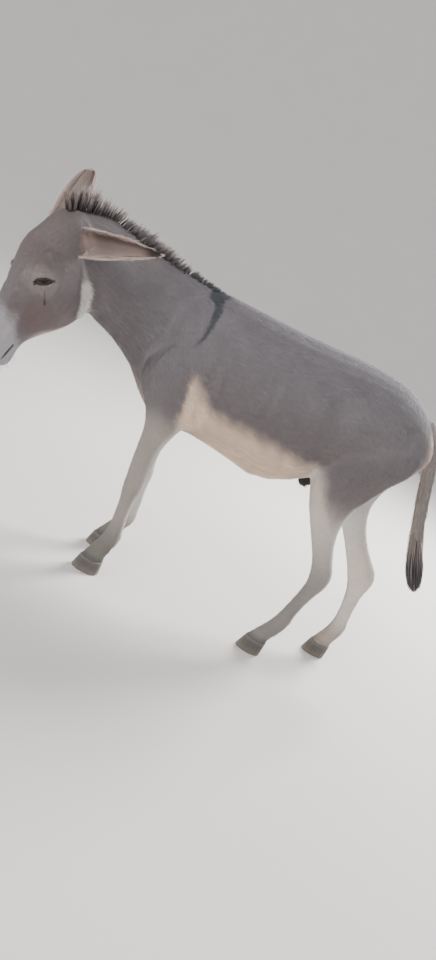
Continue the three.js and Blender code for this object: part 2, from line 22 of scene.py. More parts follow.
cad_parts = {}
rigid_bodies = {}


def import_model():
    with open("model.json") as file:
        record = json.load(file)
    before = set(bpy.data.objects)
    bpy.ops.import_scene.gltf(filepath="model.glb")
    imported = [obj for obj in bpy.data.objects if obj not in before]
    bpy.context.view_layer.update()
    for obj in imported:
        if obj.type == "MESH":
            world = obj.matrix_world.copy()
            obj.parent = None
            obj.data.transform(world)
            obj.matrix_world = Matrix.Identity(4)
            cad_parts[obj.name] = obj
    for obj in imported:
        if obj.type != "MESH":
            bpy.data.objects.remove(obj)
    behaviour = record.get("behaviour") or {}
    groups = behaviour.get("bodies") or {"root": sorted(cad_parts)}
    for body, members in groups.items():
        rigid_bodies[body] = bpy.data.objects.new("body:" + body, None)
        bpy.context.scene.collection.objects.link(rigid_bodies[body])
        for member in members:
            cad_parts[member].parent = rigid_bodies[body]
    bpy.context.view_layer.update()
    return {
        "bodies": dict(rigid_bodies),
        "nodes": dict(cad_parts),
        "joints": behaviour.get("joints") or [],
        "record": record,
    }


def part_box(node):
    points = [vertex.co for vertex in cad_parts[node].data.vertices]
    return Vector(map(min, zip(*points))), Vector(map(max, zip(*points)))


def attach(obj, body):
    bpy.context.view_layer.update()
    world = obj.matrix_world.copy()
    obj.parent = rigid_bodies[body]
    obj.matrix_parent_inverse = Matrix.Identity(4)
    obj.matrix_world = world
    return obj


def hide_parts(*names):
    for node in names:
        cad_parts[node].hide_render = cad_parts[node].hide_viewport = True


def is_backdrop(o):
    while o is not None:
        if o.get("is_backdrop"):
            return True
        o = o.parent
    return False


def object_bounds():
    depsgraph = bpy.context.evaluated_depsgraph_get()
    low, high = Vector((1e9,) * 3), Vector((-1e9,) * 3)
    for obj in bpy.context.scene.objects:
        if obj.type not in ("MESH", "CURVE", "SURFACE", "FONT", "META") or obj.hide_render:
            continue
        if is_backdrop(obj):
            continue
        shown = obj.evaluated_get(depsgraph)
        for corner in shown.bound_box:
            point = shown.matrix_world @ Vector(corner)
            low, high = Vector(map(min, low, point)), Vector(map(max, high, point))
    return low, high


log = logging.getLogger("donkey")

Array = np.ndarray
Point = tuple[float, float, float]
Mesh = bpy.types.Mesh
Piece = bpy.types.Object
Material = bpy.types.Material
Rng = np.random.Generator
Lay = Callable[..., None]
Rows = tuple[tuple[float, ...], ...]

BAKE_MAP = "OFBake"
COAT_COLOUR = "Coat"


class Part(IntEnum):
    """The parts of the skin that are combed, painted and laid out apart from each other."""

    TRUNK = 0
    NECK = 1
    HEAD = 2
    EAR_LEFT = 3
    EAR_RIGHT = 4
    FORE_LEFT = 5
    FORE_RIGHT = 6
    HIND_LEFT = 7
    HIND_RIGHT = 8
    TAIL = 9


LEGS = (Part.FORE_LEFT, Part.FORE_RIGHT, Part.HIND_LEFT, Part.HIND_RIGHT)
EARS = (Part.EAR_LEFT, Part.EAR_RIGHT)


# --- small helpers on numbers
def smooth(low: float, high: float, value: Array) -> Array:
    """A soft step from 0 at `low` to 1 at `high`; the two may be in either order."""
    t = np.clip((value - low) / (high - low), 0.0, 1.0)
    return t * t * (3.0 - 2.0 * t)


def unit(vectors: Array) -> Array:
    """The vectors, each at length one."""
    size = np.linalg.norm(vectors, axis=-1, keepdims=True)
    return vectors / np.maximum(size, 1e-9)


def srgb(red: int, green: int, blue: int) -> tuple[float, float, float]:
    """A colour given on the usual 0 to 255 scale, as linear light."""
    return tuple(
        v / 12.92 if v <= 0.04045 else ((v + 0.055) / 1.055) ** 2.4
        for v in (red / 255, green / 255, blue / 255)
    )


def ripple(points: Array, size: float, seed: int) -> Array:
    """Soft irregular noise between about -1 and 1, with lumps about `size` across."""
    rng = np.random.default_rng(seed)
    turns = unit(rng.normal(size=(9, 3))) * (2 * math.pi / size) * rng.uniform(0.5, 1.3, (9, 1))
    phases = rng.uniform(0, 2 * math.pi, 9)
    return np.sin(points @ turns.T + phases).sum(1) / 3.2


def folded(points: Array) -> Array:
    """Places with the right side laid over the left."""
    return np.stack([points[:, 0], np.abs(points[:, 1]), points[:, 2]], axis=1)


def along_path(points: Array, path: Sequence[Point]) -> tuple[Array, Array]:
    """The distance of each point from a bent line, and how far along the line it lies.

    Args:
        points: places, one to a row.
        path: the line's corners.

    Returns:
        The distances, and the lengths along the line to the nearest place on it.
    """
    corners = np.array(path, dtype=float)
    best = np.full(len(points), np.inf)
    reached = np.zeros(len(points))
    start = 0.0
    for a, b in zip(corners[:-1], corners[1:]):
        span = b - a
        length = float(np.linalg.norm(span))
        t = np.clip((points - a) @ span / max(length**2, 1e-12), 0.0, 1.0)
        away = np.linalg.norm(points - (a + t[:, None] * span), axis=1)
        nearer = away < best
        best = np.where(nearer, away, best)
        reached = np.where(nearer, start + t * length, reached)
        start += length
    return best, reached


# --- where things are
@dataclass(frozen=True)
class HeadPose:
    """How the head is carried, and the place of the eyes in the head's own frame."""

    turn: float = 46.0
    nose_out: float = 13.5
    eyes: Point = (0.197, 0.0, -0.045)

    def axes(self) -> Array:
        """The rows are the directions of the nose, of the left side and of the forehead."""
        turn, swing = math.radians(self.turn), math.radians(self.nose_out)
        ahead = np.array([-math.cos(turn), -math.sin(turn), 0.0])
        up = np.array([0.0, 0.0, 1.0])
        nose = -math.cos(swing) * up + math.sin(swing) * ahead
        brow = math.cos(swing) * ahead + math.sin(swing) * up
        return np.stack([nose, np.cross(brow, nose), brow])


class Places:
    """The body's and the head's own frames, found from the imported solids."""

    def __init__(self) -> None:
        """Reads the boxes of the eyes and hooves."""
        left, right = (self._middle("eye_" + side) for side in ("left", "right"))
        self.pose = HeadPose()
        self.axes = self.pose.axes()
        self.poll = (left + right) / 2 - np.array(self.pose.eyes) @ self.axes
        low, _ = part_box("hind_hoof_left")
        fore = [self._middle("fore_hoof_" + side)[1] for side in ("left", "right")]
        self.shift = np.array([low[0] - 0.303, sum(fore) / 2, 0.0])

    @staticmethod
    def _middle(node: str) -> Array:
        """The middle of a solid's box."""
        low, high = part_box(node)
        return (np.array(low) + np.array(high)) / 2

    def body(self, points: Array) -> Array:
        """World places in the body's frame, whose X is 0 a little ahead of its middle."""
        return points - self.shift

    def from_body(self, points: Array) -> Array:
        """Places in the body's frame, in the world."""
        return np.asarray(points, dtype=float) + self.shift

    def head(self, points: Array) -> Array:
        """World places in the head's frame: poll to nose, left, and out of the forehead."""
        return (points - self.poll) @ self.axes.T

    def from_head(self, points: Array) -> Array:
        """Places in the head's frame, in the world."""
        return np.asarray(points, dtype=float) @ self.axes + self.poll


# --- meshes
def mesh_arrays(mesh: Mesh) -> tuple[Array, Array, Array]:
    """A mesh's points, their outward normals, and its edges."""
    count = len(mesh.vertices)
    points = np.empty(count * 3)
    mesh.vertices.foreach_get("co", points)
    normals = np.empty(count * 3)
    mesh.vertex_normals.foreach_get("vector", normals)
    edges = np.empty(len(mesh.edges) * 2, dtype=np.int64)
    mesh.edges.foreach_get("vertices", edges)
    return points.reshape(-1, 3), normals.reshape(-1, 3), edges.reshape(-1, 2)


def made(form: bmesh.types.BMesh, name: str) -> Mesh:
    """A bmesh as a new mesh; the bmesh is used up."""
    mesh = bpy.data.meshes.new(name)
    form.to_mesh(mesh)
    form.free()
    return mesh


def put_points(mesh: Mesh, points: Array) -> None:
    """Moves a mesh's points."""
    mesh.vertices.foreach_set("co", points.astype(np.float32).ravel())
    mesh.update()


def relax(points: Array, edges: Array, steps: Array, weight: float = 0.5) -> Array:
    """Evens out points towards their neighbours.

    Args:
        points: the places to even out, or any other values with one row to a point.
        edges: pairs of neighbours.
        steps: how many rounds each point takes part in.
        weight: how far a point goes in one round.

    Returns:
        The new values.
    """
    points = points.copy()
    count = len(points)
    degree = np.maximum(np.bincount(edges.ravel(), minlength=count), 1)[:, None]
    for step in range(int(np.ceil(steps.max()))):
        total = np.stack(
            [
                np.bincount(edges[:, 0], column[edges[:, 1]], count)
                + np.bincount(edges[:, 1], column[edges[:, 0]], count)
                for column in points.T
            ],
            axis=1,
        )
        share = np.clip(steps - step, 0.0, 1.0)[:, None] * weight
        points += share * (total / degree - points)
    return points


def linked(name: str, data: Any) -> Piece:
    """A new object in the scene."""
    piece = bpy.data.objects.new(name, data)
    bpy.context.scene.collection.objects.link(piece)
    return piece


def finished(mesh: Mesh, *modifiers: tuple[str, dict[str, Any]]) -> Mesh:
    """A mesh after modifiers.

    Args:
        mesh: the mesh to start from; it is used up.
        modifiers: each one's type and settings.

    Returns:
        A new mesh.
    """
    work = linked("work", mesh)
    for kind, settings in modifiers:
        modifier = work.modifiers.new(kind, kind)
        for name, value in settings.items():
            setattr(modifier, name, value)
    bpy.context.view_layer.update()
    result = bpy.data.meshes.new_from_object(
        work.evaluated_get(bpy.context.evaluated_depsgraph_get())
    )
    bpy.data.objects.remove(work)
    return result


def add_object(name: str, mesh: Mesh, material: Material) -> Piece:
    """A smooth-shaded object at the origin, with one material."""
    mesh.name = name
    mesh.materials.clear()
    mesh.materials.append(material)
    mesh.polygons.foreach_set("material_index", np.zeros(len(mesh.polygons), dtype=np.int32))
    mesh.polygons.foreach_set("use_smooth", np.ones(len(mesh.polygons), dtype=bool))
    return linked(name, mesh)


def set_colour(mesh: Mesh, colours: Array) -> None:
    """Writes a mesh's coat colour, one to a point."""
    layer = mesh.attributes.new(COAT_COLOUR, "FLOAT_COLOR", "POINT")
    full = np.ones((len(mesh.vertices), 4), dtype=np.float32)
    full[:, :3] = colours
    layer.data.foreach_set("color", full.ravel())


# --- the skin
@dataclass(frozen=True)
class Relief:
    """A soft rise or hollow of the skin along a bent line.

    Attributes:
        path: the line's corners, in the body's or the head's frame, on the animal's left.
        reach: how far from the line it fades out.
        height: how far the skin rises there; a hollow is negative.
        one_side: True if it has no twin on the other side.
    """

    path: tuple[Point, ...]
    reach: float
    height: float
    one_side: bool = False

    def sides(self) -> list[tuple[Point, ...]]:
        """The line, and its twin on the other side."""
        twin = tuple((x, -y, z) for x, y, z in self.path)
        return [self.path] if self.one_side else [self.path, twin]

    def lift(self, points: Array) -> Array:
        """How far each point rises."""
        total = np.zeros(len(points))
        for path in self.sides():
            away, _ = along_path(points, path)
            total = np.maximum(total, np.maximum(1 - (away / self.reach) ** 2, 0.0) ** 2)
        return total * self.height


BODY_RELIEFS = (
    Relief(((-0.235, -0.15, 0.76), (-0.21, -0.15, 0.68)), 0.085, 0.009),
    Relief(((-0.165, -0.19, 0.86), (-0.15, -0.19, 0.74), (-0.15, -0.15, 0.64)), 0.035, -0.006),
    Relief(((-0.395, -0.115, 0.7),), 0.05, 0.008),
    Relief(((-0.19, -0.15, 0.625),), 0.034, 0.008),
    Relief(((-0.43, 0.0, 0.76), (-0.4, 0.0, 0.64)), 0.024, -0.006, True),
    Relief(((0.335, -0.16, 0.985),), 0.07, 0.01),
    Relief(((0.265, -0.19, 0.9), (0.25, -0.2, 0.83)), 0.07, -0.011),
    Relief(((0.57, -0.06, 0.885),), 0.045, 0.007),
    Relief(((0.5, -0.15, 0.93), (0.47, -0.17, 0.72)), 0.035, -0.005),
    Relief(((0.28, -0.165, 0.7),), 0.05, 0.008),
    Relief(((0.22, -0.17, 0.74), (0.235, -0.13, 0.69)), 0.03, -0.004),
)
RIBS = tuple(
    Relief(((x, -0.2, 0.9), (x + 0.012, -0.225, 0.8), (x - 0.01, -0.2, 0.71)), 0.017, 0.001)
    for x in (-0.09, -0.04, 0.01, 0.06, 0.11, 0.16)
)
HEAD_RELIEFS = (
    Relief(((0.03, 0.082, -0.095),), 0.035, -0.007),
    Relief(((-0.034, 0.026, -0.04), (-0.018, 0.061, -0.082)), 0.01, 0.003),
    Relief(((0.128, 0.078, -0.022),), 0.026, -0.006),
    Relief(((0.158, 0.088, -0.024), (0.2, 0.092, -0.014), (0.236, 0.08, -0.018)), 0.016, 0.004),
    Relief(((0.24, 0.09, -0.084), (0.32, 0.064, -0.078)), 0.018, 0.003),
    Relief(((0.255, 0.088, -0.115), (0.33, 0.06, -0.104)), 0.026, -0.003),
    Relief(((0.27, 0.04, -0.01), (0.4, 0.028, -0.022)), 0.018, 0.003),
    Relief(((0.3, 0.06, -0.04), (0.4, 0.048, -0.045)), 0.022, -0.004),
    Relief(((0.08, 0.074, -0.18), (0.15, 0.078, -0.222), (0.22, 0.07, -0.222)), 0.022, 0.003),
    Relief(((0.03, 0.074, -0.08), (0.07, 0.08, -0.15), (0.11, 0.07, -0.23)), 0.022, -0.006),
    Relief(((0.405, 0.05, -0.118), (0.47, 0.03, -0.12)), 0.02, 0.003),
    Relief(((0.44, 0.0, -0.14),), 0.026, 0.004, True),
)


COAT_DEPTH = {Part.TRUNK: 0.004, Part.NECK: 0.004, Part.HEAD: 0.0022, Part.TAIL: 0.003}
COAT_DEPTH |= dict.fromkeys(EARS, 0.0006)
COAT_DEPTH |= dict.fromkeys(LEGS[:2], 0.0026) | dict.fromkeys(LEGS[2:], 0.0028)


def part_of(node: str) -> Part:
    """The part of the skin that a solid's name stands for."""
    words = {"neck": Part.NECK, "head": Part.HEAD, "tail": Part.TAIL}
    words |= {"ear_left": Part.EAR_LEFT, "ear_right": Part.EAR_RIGHT}
    if node in words:
        return words[node]
    for leg in LEGS:
        end, side = leg.name.lower().split("_")
        if node.startswith(end) and node.endswith(side):
            return leg
    return Part.TRUNK


EYE_PLACE = (0.197, 0.084, -0.045)
EYE_RADIUS = 0.025


@dataclass
class FaceCarver:
    """Shapes the lids, the nostril and the mouth on one side of the head.

    Attributes:
        side: 1 for the left, -1 for the right.
        eye: the middle of the eyeball in the head's frame, on the left.
        radius: the eyeball's radius.
        gaze: where the eye looks.
        corner: the way from the middle of the eye to its inner corner.
    """

    places: Places
    side: int
    eye: Point = EYE_PLACE
    radius: float = EYE_RADIUS
    gaze: Point = (0.05, 0.86, 0.5)
    corner: Point = (0.64, -0.38, 0.66)
    opening: tuple[float, float, float] = (0.0258, 0.005, 0.0044)
    lid: float = 0.0028
    sink: float = 0.005

    def frame(self) -> Array:
        """Rows: towards the inner corner, towards the upper lid, and outwards."""
        out = unit(np.array(self.gaze))
        along = np.array(self.corner)
        along = unit(along - out * (along @ out))
        return np.stack([along, np.cross(along, out), out])

    def local(self, points: Array) -> Array:
        """World places in the head's frame, mirrored so that this side is the left."""
        return self.places.head(points) * [1, self.side, 1]

    def world(self, local: Array) -> Array:
        """The way back from `local`."""
        return self.places.from_head(local * [1, self.side, 1])

    def on_ball(self, local: Array) -> tuple[Array, Array, Array, Array]:
        """Places as arc lengths over the eyeball from the middle of the opening.

        Args:
            local: places from `local`.

        Returns:
            Arc lengths towards the corner and the upper lid, distance from the ball's middle, and the
            part of the direction that points outwards.
        """
        away = local - self.eye
        far = np.linalg.norm(away, axis=1)
        turned = (away / np.maximum(far, 1e-9)[:, None]) @ self.frame().T
        flat = np.maximum(np.hypot(turned[:, 0], turned[:, 1]), 1e-9)
        arc = np.arctan2(flat, turned[:, 2]) * self.radius
        return turned[:, 0] / flat * arc, turned[:, 1] / flat * arc, far, turned[:, 2]

    def edge(self, along: Array) -> tuple[Array, Array]:
        """The heights of the upper and the lower lid's edge."""
        half, above, below = self.opening
        bend = np.maximum(1 - (along / half) ** 2, 0.0)
        lean = -0.06 * along
        return above * bend**0.8 - lean, -below * bend**0.8 - lean

    def outside(self, along: Array, up: Array) -> Array:
        """How far a place on the ball lies outside the opening; negative inside it."""
        top, bottom = self.edge(along)
        return np.maximum(up - top, bottom - up) + np.maximum(np.abs(along) - self.opening[0], 0.0)

    def carve(self, mesh: Mesh) -> None:
        """Shapes the face's features in a mesh."""
        points, _, _ = mesh_arrays(mesh)
        local = self.local(points)
        near = (local[:, 1] > 0.0) & (local[:, 0] > 0.1) & (local[:, 2] > -0.29)
        shaped = local.copy()
        shaped[near] = self.lids(shaped[near])
        put_points(mesh, np.where(near[:, None], self.world(shaped), points))
        points, normals, _ = mesh_arrays(mesh)
        local = self.local(points)
        rise = np.where(near, self.creases(local) + self.nose_and_mouth(local), 0.0)
        put_points(mesh, points + normals * rise[:, None])

    def lids(self, local: Array) -> Array:
        """Wraps the skin round the ball and opens the lids."""
        along, up, far, outward = self.on_ball(local)
        span = np.hypot(along * 0.86, up)
        hold = smooth(0.04, 0.021, span) * (outward > 0.1)
        shell = self.radius + self.lid + 0.0012 * smooth(0.0, 0.006, up)
        new = far + (shell - far) * hold
        gap = self.outside(along, up)
        rim = np.exp(-(((gap - 0.0012) / 0.0012) ** 2)) * 0.0009
        new = new + rim * hold
        drop = smooth(0.0006, -0.0012, gap) * (outward > 0.3)
        new = new + (self.radius - self.sink - new) * drop
        away = local - self.eye
        return self.eye + away * (new / np.maximum(far, 1e-9))[:, None]

    def creases(self, local: Array) -> Array:
        """The folds above and below the lids."""
        along, up, _, outward = self.on_ball(local)
        top, bottom = self.edge(along)
        wide = smooth(0.034, 0.016, np.abs(along)) * (outward > 0.0)
        total = np.zeros(len(local))
        for far, depth in ((0.008, 0.0016), (0.014, 0.0011), (0.02, 0.0008)):
            total -= depth * np.exp(-(((up - top - far) / 0.0016) ** 2))
        for far, depth in ((0.0075, 0.001), (0.014, 0.0006)):
            total -= depth * np.exp(-(((bottom - up - far) / 0.0018) ** 2))
        return total * wide

    def nose_and_mouth(self, local: Array) -> Array:
        """The nostril with its rim, the mouth's line and the lips."""
        hole = Relief(NOSTRIL_LINE, 0.013, -0.016, True)
        wing = Relief(NOSTRIL_WING, 0.012, 0.0045, True)
        slit = Relief(MOUTH_LINE, 0.0055, -0.005, True)
        lips = Relief(MOUTH_LINE, 0.02, 0.0026, True)
        return sum(form.lift(local) for form in (hole, wing, slit, lips))


MOUTH_LINE = (
    (0.412, 0.052, -0.098), (0.44, 0.054, -0.092), (0.466, 0.048, -0.089), (0.49, 0.026, -0.086),
    (0.502, 0.0, -0.085),
)
NOSTRIL_WING = ((0.44, 0.058, -0.014), (0.47, 0.057, -0.026), (0.484, 0.04, -0.052))
THROAT_LINE = (
    (0.072, 0.036, -0.104), (0.107, 0.039, -0.139), (0.142, 0.039, -0.171), (0.215, 0.03, -0.23)
)
TEAR_LINE = ((0.203, 0.103, -0.046), (0.212, 0.1, -0.052), (0.251, 0.094, -0.084))
NOSTRIL_LINE = ((0.446, 0.052, -0.028), (0.47, 0.044, -0.044))
NAPE = (
    (-0.768, -0.241, 1.076), (-0.725, -0.204, 1.097), (-0.655, -0.148, 1.1), (-0.54, -0.07, 1.075)
)
SHOULDER_STRIPE = (
    (-0.262, 0.0, 1.045), (-0.261, 0.043, 1.026), (-0.24, 0.08, 0.993), (-0.236, 0.114, 0.938),
    (-0.24, 0.13, 0.9), (-0.256, 0.138, 0.862),
)


@dataclass
class Skin:
    """The one skin over all the solids of flesh.

    The solids are fused, evened out, drawn in by the depth of the coat over them, and given the
    folds, lids, nostrils and mouth that they leave out.
    """

    places: Places
    nodes: dict[str, Piece]
    voxel: float = 0.0088
    ear_voxel: float = 0.0034
    even_rounds: float = 9.0
    melt: float = 0.2
    nostril: Point = (0.462, 0.05, -0.036)
    flesh: tuple[str, ...] = ("head", "neck", "trunk", "tail")
    ears: tuple[str, ...] = ("ear_left", "ear_right")
    small: tuple[str, ...] = ("ear_left", "ear_right", "sheath")
    leg_words: tuple[str, ...] = ("forearm", "gaskin", "cannon", "pastern", "hoof")
    points: Array = field(init=False)
    normals: Array = field(init=False)
    edges: Array = field(init=False)
    part: Array = field(init=False)

    def members(self) -> list[str]:
        """The names of the solids that the skin covers, without the ears."""
        legs = [name for name in self.nodes if any(word in name for word in self.leg_words)]
        return list(self.flesh) + sorted(legs)

    def grown_copy(self, name: str, by: float, form: bmesh.types.BMesh) -> None:
        """Adds a solid, grown a little so that it meets its neighbours, to a bmesh."""
        one = bmesh.new()
        one.from_mesh(self.nodes[name].data)
        bmesh.ops.remove_doubles(one, verts=one.verts, dist=1e-5)
        one.normal_update()
        for vert in one.verts:
            vert.co += vert.normal * by
        spare = made(one, "spare")
        form.from_mesh(spare)
        bpy.data.meshes.remove(spare)

    def body_mesh(self) -> Mesh:
        """The solids of flesh fused into one mesh, with the eye sockets filled."""
        form = bmesh.new()
        for name in self.members():
            self.grown_copy(name, 0.0006, form)
        for side in (-1, 1):
            x, y, z = EYE_PLACE
            place = self.places.from_head((x, side * (y - 0.01), z))
            bmesh.ops.create_icosphere(
                form, subdivisions=3, radius=EYE_RADIUS * 1.35, matrix=Matrix.Translation(place)
            )
        mesh = made(form, "fused")
        return finished(mesh, ("REMESH", {"mode": "VOXEL", "voxel_size": self.voxel}))

    def refine(self, mesh: Mesh, wanted: Callable[[Array], Array]) -> None:
        """Cuts each face in four where `wanted` says so of its corners."""
        form = bmesh.new()
        form.from_mesh(mesh)
        form.verts.ensure_lookup_table()
        points = np.array([vert.co for vert in form.verts])
        pick = wanted(points)
        edges = [edge for edge in form.edges if pick[edge.verts[0].index] or pick[edge.verts[1].index]]
        bmesh.ops.subdivide_edges(form, edges=edges, cuts=1, use_grid_fill=True)
        form.to_mesh(mesh)
        form.free()

    def largest_shell(self, mesh: Mesh) -> None:
        """Keeps only the largest connected shell of a mesh."""
        _, _, edges = mesh_arrays(mesh)
        mark = np.arange(len(mesh.vertices))
        while True:
            low = np.minimum(mark[edges[:, 0]], mark[edges[:, 1]])
            new = mark.copy()
            np.minimum.at(new, edges[:, 0], low)
            np.minimum.at(new, edges[:, 1], low)
            new = new[new]
            if np.array_equal(new, mark):
                break
            mark = new
        main = np.bincount(mark).argmax()
        form = bmesh.new()
        form.from_mesh(mesh)
        form.verts.ensure_lookup_table()
        stray = [form.verts[i] for i in np.flatnonzero(mark != main)]
        bmesh.ops.delete(form, geom=stray, context="VERTS")
        form.to_mesh(mesh)
        form.free()

    def on_head(self, points: Array, low: float) -> Array:
        """True for points of the head past `low`, from the poll towards the nose."""
        local = self.places.head(points)
        return (local[:, 0] > low) & (np.abs(local[:, 1]) < 0.15) & (local[:, 2] > -0.29)

    def near_features(self, points: Array) -> Array:
        """True for points round the eyes, the nostrils and the mouth."""
        local = self.places.head(points)
        eye = self.near_eye(points, 0.042)
        nostril = np.linalg.norm(folded(local) - self.nostril, axis=1) < 0.03
        mouth = (local[:, 0] > 0.385) & (np.abs(local[:, 2] + 0.1) < 0.016)
        return (eye | nostril | mouth) & self.on_head(points, 0.1)

    def near_eye(self, points: Array, reach: float = 0.033) -> Array:
        """True for points close round the eyes."""
        return np.linalg.norm(folded(self.places.head(points)) - EYE_PLACE, axis=1) < reach

    def even(self, mesh: Mesh, rounds: Array | float) -> None:
        """Evens out a mesh without letting it shrink much."""
        points, _, edges = mesh_arrays(mesh)
        steps = np.broadcast_to(np.asarray(rounds, dtype=float), (len(points),))
        for _ in range(2):
            points = relax(points, edges, steps / 2, 0.6)
            points = relax(points, edges, steps / 2, -0.62)
        put_points(mesh, relax(points, edges, steps * self.melt, 0.5))

    def small_mesh(self, name: str) -> Mesh:
        """A small form as an evened mesh, run on a little way into the body."""
        form = bmesh.new()
        self.grown_copy(name, 0.0, form)
        low, high = (np.array(corner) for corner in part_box(name))
        root = self.places.from_head((0.07, 0.0, -0.1))
        if name not in self.ears:
            root = (low + high) / 2 + [0.0, 0.0, 0.1]
        inwards = Vector(unit(root - (low + high) / 2))
        start = list(form.verts)
        near = sorted(start, key=lambda vert: (vert.co - Vector(root)).length)[: len(start) // 5]
        bmesh.ops.translate(form, verts=near, vec=inwards * 0.01)
        mesh = made(form, name)
        mesh = finished(mesh, ("REMESH", {"mode": "VOXEL", "voxel_size": self.ear_voxel}))
        self.largest_shell(mesh)
        self.even(mesh, 3.0)
        return mesh

    def with_small(self, mesh: Mesh) -> Mesh:
        """The body's mesh joined with the ears' and the sheath's."""
        extras = [linked(name + "_copy", self.small_mesh(name)) for name in self.small]
        union = {"operation": "UNION", "solver": "EXACT"}
        cuts = [("BOOLEAN", union | {"object": extra}) for extra in extras]
        mesh = finished(mesh, *cuts)
        for extra in extras:
            bpy.data.objects.remove(extra)
        return mesh

    def label(self, points: Array) -> Array:
        """The part that each point belongs to, from the nearest solid."""
        corners, faces, owner = [], [], []
        for name in self.members() + list(self.small):
            mesh = self.nodes[name].data
            start = len(corners)
            corners += [vert.co.copy() for vert in mesh.vertices]
            faces += [[start + i for i in face.vertices] for face in mesh.polygons]
            owner += [part_of(name)] * len(mesh.polygons)
        tree = BVHTree.FromPolygons(corners, faces)
        return np.array([owner[tree.find_nearest(Vector(point))[2]] for point in points])

    def read(self, mesh: Mesh) -> None:
        """Takes the mesh's present points, normals and edges."""
        self.points, self.normals, self.edges = mesh_arrays(mesh)

    def draw_in(self, mesh: Mesh) -> None:
        """Draws the skin in by the depth of the coat that will lie over it."""
        self.read(mesh)
        depth = np.array([COAT_DEPTH[Part(int(value))] for value in self.part])
        depth = relax(depth[:, None], self.edges, np.full(len(depth), 24.0))
        local = self.places.head(self.points)
        muzzle = smooth(0.33, 0.43, local[:, 0]) * self.on_head(self.points, 0.3)
        depth[:, 0] *= 1 - 0.5 * muzzle
        hoof = smooth(0.056, 0.044, self.points[:, 2])
        depth[:, 0] += hoof * 0.003
        put_points(mesh, self.points - self.normals * depth)

    def emboss(self, mesh: Mesh) -> None:
        """Adds the rises and hollows of muscle and bone."""
        self.read(mesh)
        body, head = self.places.body(self.points), self.places.head(self.points)
        rise = sum(relief.lift(body) for relief in BODY_RELIEFS + RIBS)
        rise = rise + sum(relief.lift(head) for relief in HEAD_RELIEFS)
        rise = np.where(np.isin(self.part, EARS), 0.0, rise)
        put_points(mesh, self.points + self.normals * rise[:, None])

    def build(self) -> Mesh:
        """Makes the skin's mesh."""
        mesh = self.body_mesh()
        self.largest_shell(mesh)
        self.even(mesh, self.even_rounds)
        self.refine(mesh, lambda points: self.on_head(points, -0.02))
        self.even(mesh, 2.0)
        mesh = self.with_small(mesh)
        self.largest_shell(mesh)
        self.refine(mesh, self.near_features)
        self.refine(mesh, self.near_eye)
        self.read(mesh)
        self.part = self.label(self.points)
        self.draw_in(mesh)
        self.emboss(mesh)
        for side in (-1, 1):
            FaceCarver(self.places, side).carve(mesh)
        self.read(mesh)
        return mesh


@dataclass(frozen=True)
class EarShape:
    """How an ear stands in the head's frame, and how its wall is rolled."""

    root: Point
    tip: Point
    facing: Point
    width: float
    narrowing: float
    blunt: float
    front: int
    rolled: tuple[float, float] = (0.92, 0.4)
    bow: float = 0.008
    dark_tip: float = 1.0


EAR_SHAPES = {
    Part.EAR_LEFT: EarShape(
        (0.042, 0.076, -0.065), (-0.117, 0.176, -0.162), (0.05, 0.62, 0.53), 0.098, 0.95, 0.7, 1
    ),
    Part.EAR_RIGHT: EarShape(
        (0.013, -0.062, -0.067), (-0.204, -0.148, -0.06), (0.0, 0.55, 0.8), 0.112, 1.3, 0.36, -1,
        dark_tip=0.15,
    ),
}


class EarFrame:
    """Measures places on an ear: along it, round its rolled wall, and inside or outside."""

    def __init__(self, places: Places, ear: Part) -> None:
        """Sets up an ear's own axes."""
        self.places = places
        self.shape = EAR_SHAPES[ear]
        self.root = np.array(self.shape.root)
        tip = np.array(self.shape.tip)
        self.length = float(np.linalg.norm(tip))
        self.axis = tip / self.length
        facing = np.array(self.shape.facing)
        self.facing = unit(facing - self.axis * (facing @ self.axis))
        self.side = np.cross(self.axis, self.facing)

    def read(self, points: Array, normals: Array) -> tuple[Array, Array, Array]:
        """Measures places on the ear.

        Args:
            points: places in the world.
            normals: the skin's outward directions there.

        Returns:
            The share of the ear's length, how far round towards the rim from -1 to 1, and 1 on the
            inner wall.
        """
        shape = self.shape
        away = self.places.head(points) - self.root
        along = away @ self.axis / self.length
        t = np.clip(along, 0.0, 1.0)
        leaf = np.maximum(np.cos(math.pi / 2 * t**shape.narrowing), 1e-6) ** shape.blunt
        spread = math.pi * (shape.rolled[0] + (shape.rolled[1] - shape.rolled[0]) * t)
        radius = shape.width / 2 * np.maximum(leaf, 0.1) / np.sin(spread / 2)
        middle = radius * np.cos(spread / 2) + shape.bow * np.sin(math.pi * t)
        out = away @ self.facing - middle
        across = away @ self.side
        turn = np.arctan2(across, -out) / (spread / 2)
        local = normals @ self.places.axes.T
        inner = -(local @ self.facing) * out - (local @ self.side) * across
        return along, turn, smooth(-0.15, 0.15, inner / np.maximum(np.hypot(out, across), 1e-6))

    def tipward(self) -> Array:
        """The way to the tip, in the world."""
        return self.axis @ self.places.axes


# --- markings
@dataclass(frozen=True)
class Shades:
    """The colours of the coat, as linear light."""

    grey: Point = srgb(126, 121, 124)
    grey_low: Point = srgb(114, 107, 108)
    brown: Point = srgb(112, 92, 90)
    white: Point = srgb(238, 209, 186)
    pale: Point = srgb(226, 223, 220)
    muzzle: Point = srgb(177, 172, 178)
    forearm: Point = srgb(170, 161, 154)
    shank: Point = srgb(118, 116, 109)
    # pale hair inside the legs, also used for the painted rim light down their rear edges
    pale_leg_and_rim_light: Point = srgb(222, 218, 214)
    hind_shank: Point = srgb(126, 123, 119)
    crown: Point = srgb(112, 102, 101)
    ear_root: Point = srgb(176, 150, 140)
    leg: Point = srgb(208, 196, 188)
    stripe: Point = srgb(78, 81, 86)
    dark: Point = srgb(38, 33, 32)
    ring: Point = srgb(168, 156, 152)
    ear_inside: Point = srgb(140, 122, 116)
    # painted shade, laid inside the ears under the rear rim
    ear_painted_shade: Point = srgb(96, 82, 78)
    ear_rim: Point = srgb(224, 200, 190)
    bare: Point = srgb(62, 54, 54)


